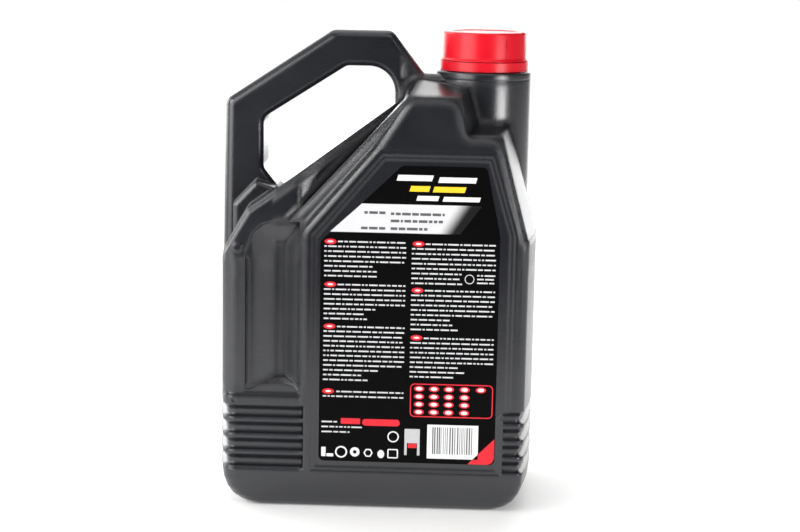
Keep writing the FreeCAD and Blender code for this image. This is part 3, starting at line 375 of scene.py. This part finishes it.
printFilm = {
    "cloudNoise": (800.0, 2.0, 0.6),
    "cloudRange": (0.2, 0.8),
    "cloudRough": 0.05,
    "worn": 0.12,
    "shade": 0.82,
}
capPlastic = {
    "dark": (0.66, 0.002, 0.013, 1.0),
    "light": (0.74, 0.004, 0.019, 1.0),
    "rough": 0.29,
    "gloss": 0.38,
    "soft": 0.0007,
    "softSamples": 6,
    "grain": 0.000006,
    "cloudNoise": (30.0, 3.0, 0.6),
    "cloudRough": 0.06,
    "grainNoise": (2200.0, 2.0, 0.6),
    "glow": 0.12,
    "lineAngle": 31.0,
    "lineLow": 0.2905,
    "lineHigh": 0.301,
    "lineFade": 0.001,
    "lineEdge": (0.010, 0.022),
    "lineDepth": 0.0004,
}
spoutPlastic = {
    "dark": (0.74, 0.73, 0.68, 1.0),
    "light": (0.84, 0.83, 0.79, 1.0),
    "rough": 0.38,
    "cloudNoise": (50.0, 3.0, 0.6),
    "cloudRough": 0.1,
    "grainNoise": (1500.0, 2.0, 0.6),
    "grain": 0.000006,
}
foam = {
    "dark": (0.70, 0.70, 0.67, 1.0),
    "light": (0.88, 0.88, 0.86, 1.0),
    "rough": 0.7,
    "cellRough": 0.15,
    "cells": 1400.0,
    "depth": 0.00005,
}

bottleFinish = blackPolyethylene(plastic)
filmFinish = labelFilm(film)
capFinish = redPolypropylene(capPlastic)
spoutFinish = naturalPolyethylene(spoutPlastic)
linerFinish = linerFoam(foam)
finishes = {
    "bottle": bottleFinish,
    "label": filmFinish,
    "cap": capFinish,
    "tamper_ring": capFinish,
    "cap_liner": linerFinish,
    "spout_collar": spoutFinish,
    "spout_tube": spoutFinish,
    "spout_seal": spoutFinish,
}
for name, finish in finishes.items():
    part = nodes[name]
    for socket in part.material_slots:
        socket.link = "OBJECT"
        socket.material = finish
print("finishes made")


# Geometry nodes: a Tree takes a mesh and named numbers, and gives the grown mesh with its finish.
class Tree:
    def __init__(self, name, numbers):
        self.tree = bpy.data.node_groups.new(name, "GeometryNodeTree")
        face = self.tree.interface
        face.new_socket(name="Geometry", in_out="INPUT", socket_type="NodeSocketGeometry")
        face.new_socket(name="Geometry", in_out="OUTPUT", socket_type="NodeSocketGeometry")
        self.names = {}
        for label, value in numbers.items():
            socket = face.new_socket(name=label, in_out="INPUT", socket_type="NodeSocketFloat")
            socket.default_value = value
            self.names[label] = socket.identifier
        self.source = self.tree.nodes.new("NodeGroupInput")
        self.sink = self.tree.nodes.new("NodeGroupOutput")

    def given(self, label):
        return self.source.outputs[label]

    def add(self, kind, settings=None, sockets=None):
        made = self.tree.nodes.new(kind)
        for key, value in (settings or {}).items():
            setattr(made, key, value)
        for key, value in (sockets or {}).items():
            if isinstance(value, bpy.types.NodeSocket):
                self.tree.links.new(value, made.inputs[key])
            else:
                made.inputs[key].default_value = value
        return made

    def close(self, geometry, finish):
        real = self.add("GeometryNodeRealizeInstances", None, {0: geometry})
        paint = self.add("GeometryNodeSetMaterial", None, {"Geometry": real.outputs[0], "Material": finish})
        self.tree.links.new(paint.outputs[0], self.sink.inputs[0])


def grown(name, seedMesh, tree, numbers, body):
    holder = bpy.data.objects.new(name + "Source", seedMesh)
    bpy.context.scene.collection.objects.link(holder)
    modifier = holder.modifiers.new("grow", "NODES")
    modifier.node_group = tree.tree
    for label, value in numbers.items():
        modifier[tree.names[label]] = value
    bpy.context.view_layer.update()
    ready = holder.evaluated_get(bpy.context.evaluated_depsgraph_get())
    mesh = bpy.data.meshes.new_from_object(ready)
    mesh.name = name
    holder.modifiers.remove(modifier)
    bpy.data.objects.remove(holder)
    piece = bpy.data.objects.new(name, mesh)
    bpy.context.scene.collection.objects.link(piece)
    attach(piece, body)


def pointMesh(name, spots, attributes):
    mesh = bpy.data.meshes.new(name)
    mesh.from_pydata(spots, [], [])
    for label, values in attributes.items():
        layer = mesh.attributes.new(label, "FLOAT", "POINT")
        layer.data.foreach_set("value", values)
    return mesh


# Screw threads: a ridge swept along a helix, one on the neck and one in the cap.
thread = {
    "lead": 6.0,
    "neckRadius": 24.0,
    "neckLow": 288.6,
    "neckTurns": 1.5,
    "capRadius": 25.7,
    "capLow": 291.2,
    "capTurns": 1.4,
    "ridge": 0.95,
    "width": 1.9,
    "root": 0.25,
    "rootHalf": 0.5,
    "crestHalf": 0.2,
    "runOut": 14.0,
    "steps": 72,
}


def threadMesh(name, radius, outward, low, turns, facts):
    mesh = bpy.data.meshes.new(name)
    count = int(facts["steps"] * turns)
    root = -facts["root"] * outward
    foot, crest = facts["rootHalf"], facts["crestHalf"]
    spots = []
    faces = []
    for i in range(count + 1):
        share = i / count
        angle = share * turns * 2 * math.pi
        ends = min(1.0, min(share, 1.0 - share) * turns * facts["runOut"])  # runs out at both ends
        ridge = facts["ridge"] * ends * outward
        z = low + facts["lead"] * share * turns
        for far, up in ((root, -foot), (ridge, -crest), (ridge, crest), (root, foot)):
            reach = radius + far
            height = (z + up * facts["width"]) * mm
            spots.append(((neckX + reach * math.cos(angle)) * mm, reach * math.sin(angle) * mm, height))
    for i in range(count):
        for j in range(4):
            a, b = i * 4 + j, i * 4 + (j + 1) % 4
            face = (a, b, b + 4, a + 4)
            faces.append(face if outward < 0 else face[::-1])
    last = count * 4
    caps = [(0, 1, 2, 3), (last + 3, last + 2, last + 1, last)]
    faces += caps if outward > 0 else [cap[::-1] for cap in caps]
    mesh.from_pydata(spots, [], faces)
    mesh.validate()
    return mesh


def addPiece(name, mesh, finish, body):
    piece = bpy.data.objects.new(name, mesh)
    bpy.context.scene.collection.objects.link(piece)
    mesh.materials.clear()
    mesh.materials.append(finish)
    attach(piece, body)


addPiece(
    "neck_thread",
    threadMesh("neckThread", thread["neckRadius"], 1.0, thread["neckLow"], thread["neckTurns"], thread),
    bottleFinish,
    "bottle",
)
addPiece(
    "cap_thread",
    threadMesh("capThread", thread["capRadius"], -1.0, thread["capLow"], thread["capTurns"], thread),
    capFinish,
    "cap",
)
print("threads made")


# Turned trims: the column's upper edge close under the tamper ring, and the cap's moulded line.
neckTrim = {
    "outline": (
        (24.05, 276.0),
        (30.83, 276.0),
        (30.83, 280.0),
        (30.6, 280.5),
        (30.1, 280.75),
        (24.05, 280.75),
    ),
    "steps": 96,
}
capLine = {
    "angle": 31.0,
    "low": 290.4,
    "high": 301.4,
    "reach": 27.2,
    "taper": 0.03,
    "wide": 0.8,
    "crest": 0.6,
    "proud": 0.3,
    "sunk": 0.3,
}


def turnedMesh(name, facts):
    count = facts["steps"]
    rows = len(facts["outline"])
    spots = []
    faces = []
    for i in range(count):
        angle = 2 * math.pi * i / count
        for reach, z in facts["outline"]:
            spots.append(((neckX + reach * math.cos(angle)) * mm, reach * math.sin(angle) * mm, z * mm))
        for j in range(rows):
            here, over = i * rows, (i + 1) % count * rows
            faces.append((here + j, over + j, over + (j + 1) % rows, here + (j + 1) % rows))
    mesh = bpy.data.meshes.new(name)
    mesh.from_pydata(spots, [], faces)
    return mesh


def lineMesh(name, facts):
    angle = math.radians(facts["angle"])
    out = Vector((math.sin(angle), -math.cos(angle), 0.0))
    along = Vector((math.cos(angle), math.sin(angle), 0.0))
    crest, sunk, proud = facts["crest"], facts["sunk"], facts["proud"]
    spots = []
    for z in (facts["low"], facts["high"]):
        reach = facts["reach"] - (z - facts["low"]) * facts["taper"]
        for side, far in ((-1, -sunk), (1, -sunk), (crest, proud), (-crest, proud)):
            spot = Vector((neckX, 0.0, z)) + out * (reach + far) + along * side * facts["wide"] / 2
            spots.append(tuple(spot * mm))
    sides = [(i, (i + 1) % 4, (i + 1) % 4 + 4, i + 4) for i in range(4)]
    mesh = bpy.data.meshes.new(name)
    mesh.from_pydata(spots, [], [face[::-1] for face in sides] + [(0, 1, 2, 3), (7, 6, 5, 4)])
    return mesh


addPiece("neck_shoulder", turnedMesh("neckShoulder", neckTrim), bottleFinish, "bottle")
addPiece("cap_line", lineMesh("capLine", capLine), capFinish, "cap")
print("trims made")


# Printing on the label: generic fields of colour and greeked bars.
printing = {
    "face": -57.62,
    "lift": 0.03,
    "pitch": 3.15,
    "word": 0.95,
    "widths": (1.4, 2.2, 3.1, 4.2, 5.4, 6.8),
    "space": 0.9,
    "least": 1.0,
    "indent": 8.6,
    "shortRow": (0.45, 0.7),
    "leftColumn": (-32.4, 19.2),
    "rightColumn": (22.9, 75.9),
    "leftBlocks": ((175.4, 8), (147.8, 8), (120.6, 12), (78.2, 2)),
    "rightBlocks": ((175.0, 9), (145.2, 9), (114.4, 9)),
    "footColumn": (-33.0, 3.0),
    "footRows": ((58.2, 0.3), (54.9, 0.75), (51.6, 0.5)),
    "sideColumn": (64.4, 76.0),
    "sideRows": (155.6, 153.2, 150.8),
}
whiteInk = ink("whiteInk", (0.80, 0.80, 0.80, 1.0))
textInk = ink("textInk", (0.62, 0.62, 0.63, 1.0))
yellowInk = ink("yellowInk", (0.88, 0.58, 0.02, 1.0))
redInk = ink("redInk", (0.70, 0.008, 0.022, 1.0))
greyInk = ink("greyInk", (0.10, 0.10, 0.105, 1.0))
silverInk = ink(
    "silverInk",
    (0.66, 0.66, 0.67, 1.0),
    0.35,
    {"lean": -0.64, "start": -0.0785, "end": -0.067, "into": (0.002, 0.002, 0.0022, 1.0)},
)


def wordTree(finish):
    tree = Tree("wordBars", {"Height": 0.001})
    bar = tree.add(
        "GeometryNodeMeshGrid", None, {"Size X": 1.0, "Size Y": 1.0, "Vertices X": 2, "Vertices Y": 2}
    )
    stand = tree.add(
        "GeometryNodeTransform", None, {"Geometry": bar.outputs[0], "Rotation": (math.pi / 2, 0.0, 0.0)}
    )
    wide = tree.add("GeometryNodeInputNamedAttribute", {"data_type": "FLOAT"}, {"Name": "wide"})
    scale = tree.add(
        "ShaderNodeCombineXYZ", None, {"X": wide.outputs[0], "Y": 1.0, "Z": tree.given("Height")}
    )
    rows = tree.add(
        "GeometryNodeInstanceOnPoints",
        None,
        {"Points": tree.given("Geometry"), "Instance": stand.outputs[0], "Scale": scale.outputs[0]},
    )
    tree.close(rows.outputs[0], finish)
    return tree


def wordRun(generator, left, right, z, fill=1.0):
    x = left
    end = left + (right - left) * fill
    while x < end - printing["least"]:
        wide = min(generator.choice(printing["widths"]), end - x)
        yield x + wide / 2, z, wide
        x += wide + printing["space"]


# A block of rows: the first starts after its tag, and the last three are short.
def greekBlock(generator, column, top, count):
    left, right = column
    for row in range(count):
        bullets = count > 3 and row >= count - 2
        fill = generator.uniform(*printing["shortRow"]) if bullets or row == count - 3 else 1.0
        start = left + printing["indent"] if row == 0 else left
        yield from wordRun(generator, start, right, top - row * printing["pitch"], fill)


def greekText():
    generator = random.Random(7)
    words = []
    for top, count in printing["leftBlocks"]:
        words += list(greekBlock(generator, printing["leftColumn"], top, count))
    for top, count in printing["rightBlocks"]:
        words += list(greekBlock(generator, printing["rightColumn"], top, count))
    for z, fill in printing["footRows"]:
        words += list(wordRun(generator, *printing["footColumn"], z, fill))
    for z in printing["sideRows"]:
        words += list(wordRun(generator, *printing["sideColumn"], z))
    return words


def barPiece(name, words, height, finish, lift=1.0):
    depth = printing["face"] - printing["lift"] * lift
    spots = [(x * mm, depth * mm, z * mm) for x, z, wide in words]
    mesh = pointMesh(name + "Points", spots, {"wide": [wide * mm for x, z, wide in words]})
    grown(name, mesh, wordTree(finish), {"Height": height * mm}, "bottle")


barPiece("label_small_text", greekText(), printing["word"], textInk)
print("small text made")


def flatMesh(name, outlines, lift=1.0):
    mesh = bpy.data.meshes.new(name)
    depth = (printing["face"] - printing["lift"] * lift) * mm
    spots = []
    faces = []
    for outline in outlines:
        first = len(spots)
        following = outline[1:] + outline[:1]
        area = sum(here[0] * then[1] - then[0] * here[1] for here, then in zip(outline, following))
        ordered = outline if area > 0 else outline[::-1]
        spots += [(x * mm, depth, z * mm) for x, z in ordered]
        faces.append(tuple(range(first, first + len(ordered))))
    mesh.from_pydata(spots, [], faces)
    return mesh


# Outlines for flat print: ring, oval, box with round corners, frame and slanted bar.
def ringOutlines(x, z, outer, inner, count=32):
    quads = []
    for i in range(count):
        a, b = (2 * math.pi * k / count for k in (i, i + 1))
        quads.append(
            [
                (x + inner * math.cos(a), z + inner * math.sin(a)),
                (x + outer * math.cos(a), z + outer * math.sin(a)),
                (x + outer * math.cos(b), z + outer * math.sin(b)),
                (x + inner * math.cos(b), z + inner * math.sin(b)),
            ]
        )
    return quads


def oval(x, z, wide, high, count=28):
    return [
        (x + wide / 2 * math.cos(2 * math.pi * i / count), z + high / 2 * math.sin(2 * math.pi * i / count))
        for i in range(count)
    ]


def roundedBox(left, right, low, high, soft, count=8):
    spots = []
    for x, z, start in (
        (right - soft, low + soft, -90),
        (right - soft, high - soft, 0),
        (left + soft, high - soft, 90),
        (left + soft, low + soft, 180),
    ):
        for i in range(count + 1):
            angle = math.radians(start + 90 * i / count)
            spots.append((x + soft * math.cos(angle), z + soft * math.sin(angle)))
    return spots


def frameOutlines(left, right, low, high, soft, line):
    outer = roundedBox(left, right, low, high, soft)
    inner = roundedBox(left + line, right - line, low + line, high - line, soft - line)
    count = len(outer)
    return [[outer[i], outer[(i + 1) % count], inner[(i + 1) % count], inner[i]] for i in range(count)]


def slanted(left, right, low, high, lean):
    shift = (high - low) * lean
    return [(left, low), (right, low), (right + shift, high), (left + shift, high)]


def layPrint(name, outlines, finish, lift=1.0):
    addPiece(name, flatMesh(name, outlines, lift), finish, "bottle")


# Title words stand as plain slanted bars, one for each word.
titles = {
    "white": (
        (12.4, 34.6, 214.9, 218.6),
        (38.5, 62.0, 214.1, 217.6),
        (25.0, 38.6, 202.5, 205.6),
        (41.5, 64.6, 202.3, 205.3),
    ),
    "yellow": ((20.6, 32.8, 208.2, 211.8), (35.2, 55.2, 208.0, 211.6)),
    "lean": 0.3,
}


def titleBars(boxes):
    return [slanted(left, right, low, high, titles["lean"]) for left, right, low, high in boxes]


layPrint("label_title_bars", titleBars(titles["white"]), whiteInk)
layPrint("label_grade_bars", titleBars(titles["yellow"]), yellowInk)
banner = {
    "outline": ((-29.0, 181.6), (53.0, 181.6), (66.4, 199.9), (-9.1, 199.9)),
    "rows": (
        (-7.5, 5.8, 194.3),
        (9.2, 44.0, 193.8),
        (9.2, 42.0, 189.3),
        (-9.5, 5.8, 184.4),
        (9.2, 34.0, 184.4),
    ),
    "word": 1.7,
}
layPrint("label_banner", [list(banner["outline"])], silverInk)
generator = random.Random(3)
bannerWords = []
for left, right, z in banner["rows"]:
    bannerWords += list(wordRun(generator, left, right, z))
barPiece("label_banner_text", bannerWords, banner["word"], greyInk, 2.0)

# Red and white marks: a tag before each block, the framed table of ovals, and the plates at the foot.
marks = {
    "tags": (
        (-28.6, 175.3),
        (-28.4, 147.8),
        (-28.6, 120.7),
        (-29.0, 78.3),
        (27.0, 175.0),
        (26.9, 145.2),
        (26.8, 114.6),
    ),
    "tagSize": (7.6, 3.6),
    "tagCentre": (0.5, 0.34),
    "box": (23.4, 76.4, 62.8, 84.8),
    "boxSoft": 3.0,
    "boxLine": 0.7,
    "boxColumns": (29.2, 38.7, 48.2, 58.2, 68.6),
    "boxRows": (81.4, 76.3, 71.2, 66.1),
    "boxMark": (6.6, 3.9),
    "boxCentre": (4.2, 2.3),
    "centreCount": 16,
    "corner": ((78.0, 49.5), (78.0, 36.5), (76.6, 33.6), (74.0, 32.4), (61.0, 32.4)),
    "plates": ((-20.6, -8.2, 57.0, 60.8, 0.4), (-6.9, 17.2, 56.2, 60.6, 2.1)),
}
wide, high = marks["tagSize"]
centreWide, centreHigh = wide * marks["tagCentre"][0], high * marks["tagCentre"][1]
redShapes = [oval(x, z, wide, high) for x, z in marks["tags"]]
whiteShapes = [oval(x, z, centreWide, centreHigh, marks["centreCount"]) for x, z in marks["tags"]]
redShapes += frameOutlines(*marks["box"], marks["boxSoft"], marks["boxLine"])
for row, z in enumerate(marks["boxRows"]):
    # The last column has a mark in its first row only.
    columns = marks["boxColumns"][:-1] if row else marks["boxColumns"]
    for x in columns:
        redShapes.append(oval(x, z, *marks["boxMark"]))
        whiteShapes.append(oval(x, z, *marks["boxCentre"], marks["centreCount"]))
redShapes.append(list(marks["corner"]))
redShapes += [roundedBox(*plate) for plate in marks["plates"]]
layPrint("label_red_marks", redShapes, redInk)
layPrint("label_mark_centres", whiteShapes, whiteInk, 2.0)

# Small white symbols, a pale pictogram and a striped field.
symbols = {
    "bars": ((-33.0, -30.2, 35.2, 41.4, 0.4), (-29.6, -25.2, 35.2, 37.2, 0.4)),
    "lowRings": ((-20.2, 38.4, 3.9, 2.9), (-11.4, 38.6, 3.1, 1.2), (-2.8, 38.2, 3.0, 2.1, 6)),
    "drop": (5.4, 37.6, 4.4, 5.4),
    "frame": (9.6, 16.4, 35.0, 41.2, 0.8, 0.75),
    "highRings": ((13.1, 49.3, 3.7, 2.9), (59.6, 153.1, 3.0, 2.6)),
    "pictogram": (
        (20.4, 30.2, 45.4, 54.8, 0.4),
        (20.4, 22.0, 37.4, 45.4, 0.3),
        (28.6, 30.2, 37.4, 45.4, 0.3),
    ),
    "pictogramCap": (22.6, 28.2, 42.2, 45.2, 0.3),
}
symbolShapes = [roundedBox(*bar) for bar in symbols["bars"]]
for ring in symbols["lowRings"]:
    symbolShapes += ringOutlines(*ring)
symbolShapes.append(oval(*symbols["drop"]))
symbolShapes += frameOutlines(*symbols["frame"])
for ring in symbols["highRings"]:
    symbolShapes += ringOutlines(*ring)
layPrint("label_symbols", symbolShapes, whiteInk)
paleInk = ink("paleInk", (0.52, 0.52, 0.53, 1.0))
layPrint("label_pictogram", [roundedBox(*box) for box in symbols["pictogram"]], paleInk)
layPrint("label_pictogram_cap", [roundedBox(*symbols["pictogramCap"])], redInk, 2.0)

code = {
    "field": ((34.9, 35.6), (67.6, 35.6), (67.6, 58.0), (34.9, 58.0)),
    "left": 38.2,
    "right": 64.5,
    "low": 38.6,
    "high": 56.4,
    "stripes": (0.35, 0.5, 0.8),
    "spaces": (0.5, 0.8, 1.2),
}


def codeStripes(generator, facts):
    low, high = facts["low"], facts["high"]
    stripes = []
    x = facts["left"]
    while x < facts["right"]:
        wide = generator.choice(facts["stripes"])
        stripes.append([(x, low), (x + wide, low), (x + wide, high), (x, high)])
        x += wide + generator.choice(facts["spaces"])
    return stripes


layPrint("label_code_field", [list(code["field"])], whiteInk)
layPrint("label_code_stripes", codeStripes(generator, code), greyInk, 2.0)
print("label printed")


# Floor, surround and soft studio lamps. White shows to the camera, and to mirrored rays behind the object.
white = (1.0, 1.0, 1.0, 1.0)


def makeFloor(facts):
    mesh = bpy.data.meshes.new("floor")
    count = facts["steps"]
    spots = [(0.0, 0.0, facts["drop"])]
    for i in range(count):
        angle = 2 * math.pi * i / count
        spots.append((facts["radius"] * math.cos(angle), facts["radius"] * math.sin(angle), facts["drop"]))
    mesh.from_pydata(spots, [], [(0, i + 1, (i + 1) % count + 1) for i in range(count)])
    floor = bpy.data.objects.new("floor", mesh)
    bpy.context.scene.collection.objects.link(floor)
    stuff, net = newFinish("paperFloor")
    cameraRay, glossyRay, throughRay = net.rays()
    x, y, z = net.axes()
    away = (x * x + y * y).maths("SQRT").ramp(facts["fadeStart"], facts["fadeEnd"])
    plain = net.node(
        "ShaderNodeBsdfPrincipled",
        None,
        {
            "Base Color": facts["colour"],
            "Roughness": facts["rough"],
            "Specular IOR Level": facts["gloss"],
            "Emission Color": white,
            "Emission Strength": facts["lift"],
        },
    )[0]
    glow = net.node("ShaderNodeEmission", None, {"Color": white, "Strength": 1.0})[0]
    share = away * cameraRay.most(glossyRay).most(throughRay)
    mixed = net.node("ShaderNodeMixShader", None, {0: share, 1: plain, 2: glow})[0]
    finishWith(net, mixed)
    mesh.materials.append(stuff)


def makeCard(facts):
    mesh = bpy.data.meshes.new("darkCard")
    corners = (("left", "far"), ("right", "far"), ("right", "near"), ("left", "near"))
    mesh.from_pydata([(facts[x], facts[y], facts["rise"]) for x, y in corners], [], [(0, 1, 2, 3)])
    card = bpy.data.objects.new("darkCard", mesh)
    bpy.context.scene.collection.objects.link(card)
    stuff, net = newFinish("darkCard")
    paint = {"Base Color": facts["colour"], "Roughness": facts["rough"]}
    finishWith(net, net.node("ShaderNodeBsdfPrincipled", None, paint)[0])
    mesh.materials.append(stuff)
    card.visible_camera = False
    card.visible_diffuse = False
    card.visible_shadow = False


def makeWorld(facts):
    world = bpy.data.worlds.new("studio")
    bpy.context.scene.world = world
    world.use_nodes = True
    net = Net(world.node_tree)
    cameraRay, glossyRay, throughRay = net.rays()
    where = net.node("ShaderNodeTexCoord")[0]
    x, y, z = net.node("ShaderNodeSeparateXYZ", None, {0: where})
    depth = y - x.most(0.0) * facts["shade"]
    behind = depth.ramp(*facts["turn"], facts["front"], facts["back"])
    beside = (x * -1.0).ramp(*facts["leftTurn"]) * facts["left"]
    lifted = behind + beside + z.ramp(*facts["skyTurn"]) * facts["sky"]
    shown = cameraRay.most(glossyRay.most(throughRay) * behind)
    level = shown + (1.0 - shown) * lifted
    back = net.node("ShaderNodeBackground", None, {"Color": white, "Strength": level})[0]
    net.node("ShaderNodeOutputWorld", None, {"Surface": back})


def makeLamp(name, place, aim, size, power):
    lamp = bpy.data.lights.new(name, "AREA")
    lamp.shape = "RECTANGLE"
    lamp.size, lamp.size_y = size
    lamp.energy = power
    stand = bpy.data.objects.new(name, lamp)
    bpy.context.scene.collection.objects.link(stand)
    stand.visible_camera = False
    stand.location = place
    stand.rotation_euler = (Vector(aim) - Vector(place)).to_track_quat("-Z", "Y").to_euler()


floorFacts = {
    "radius": 4.0,
    "steps": 96,
    "drop": -0.0003,
    "colour": (0.92, 0.918, 0.91, 1.0),
    "rough": 0.6,
    "gloss": 0.2,
    "lift": 0.17,
    "fadeStart": 0.45,
    "fadeEnd": 1.4,
}
worldFacts = {
    "turn": (0.15, 0.7),
    "shade": 0.9,
    "front": 0.02,
    "back": 1.0,
    "skyTurn": (0.3, 1.0),
    "sky": 0.15,
    "leftTurn": (0.35, 0.95),
    "left": 0.62,
}
# A dark card lies in front, out of the picture, so that the label mirrors no white floor.
cardFacts = {
    "left": -1.6,
    "right": 1.6,
    "near": -0.54,
    "far": -3.2,
    "rise": 0.0005,
    "colour": (0.012, 0.012, 0.012, 1.0),
    "rough": 0.9,
}
# Each lamp: place, aim, size in metres and power in watts.
lamps = {
    "leftBox": ((-0.85, -0.88, 0.42), (0.0, 0.0, 0.2), (0.95, 1.05), 12.0),
    "rightBox": ((0.43, -0.38, 0.2), (0.066, -0.03, 0.24), (0.19, 0.11), 1.1),
    "rightHigh": ((0.8, -0.9, 0.6), (0.05, 0.0, 0.2), (0.3, 0.26), 1.2),
    "leftHigh": ((-1.0, -0.54, 0.82), (-0.05, 0.0, 0.2), (0.26, 0.26), 3.4),
    "frontBox": ((0.3, -0.95, 1.3), (0.0, 0.0, 0.15), (0.9, 0.5), 2.6),
    "topBox": ((-0.1, 0.1, 1.2), (0.0, 0.0, 0.1), (1.0, 0.8), 3.4),
    "leftRear": ((-1.15, 0.45, 0.5), (0.0, 0.0, 0.2), (0.7, 0.9), 8.0),
    "rightRear": ((0.5, 1.17, 0.35), (0.05, 0.0, 0.15), (0.4, 0.8), 2.0),
    "highRear": ((0.0, 1.1, 0.95), (0.0, 0.0, 0.2), (1.6, 0.7), 5.4),
    "lowRear": ((-0.3, 1.35, 0.32), (-0.05, 0.0, 0.25), (1.3, 0.5), 6.0),
}
makeFloor(floorFacts)
makeCard(cardFacts)
makeWorld(worldFacts)
for name, facts in lamps.items():
    makeLamp(name, *facts)
print("studio ready")
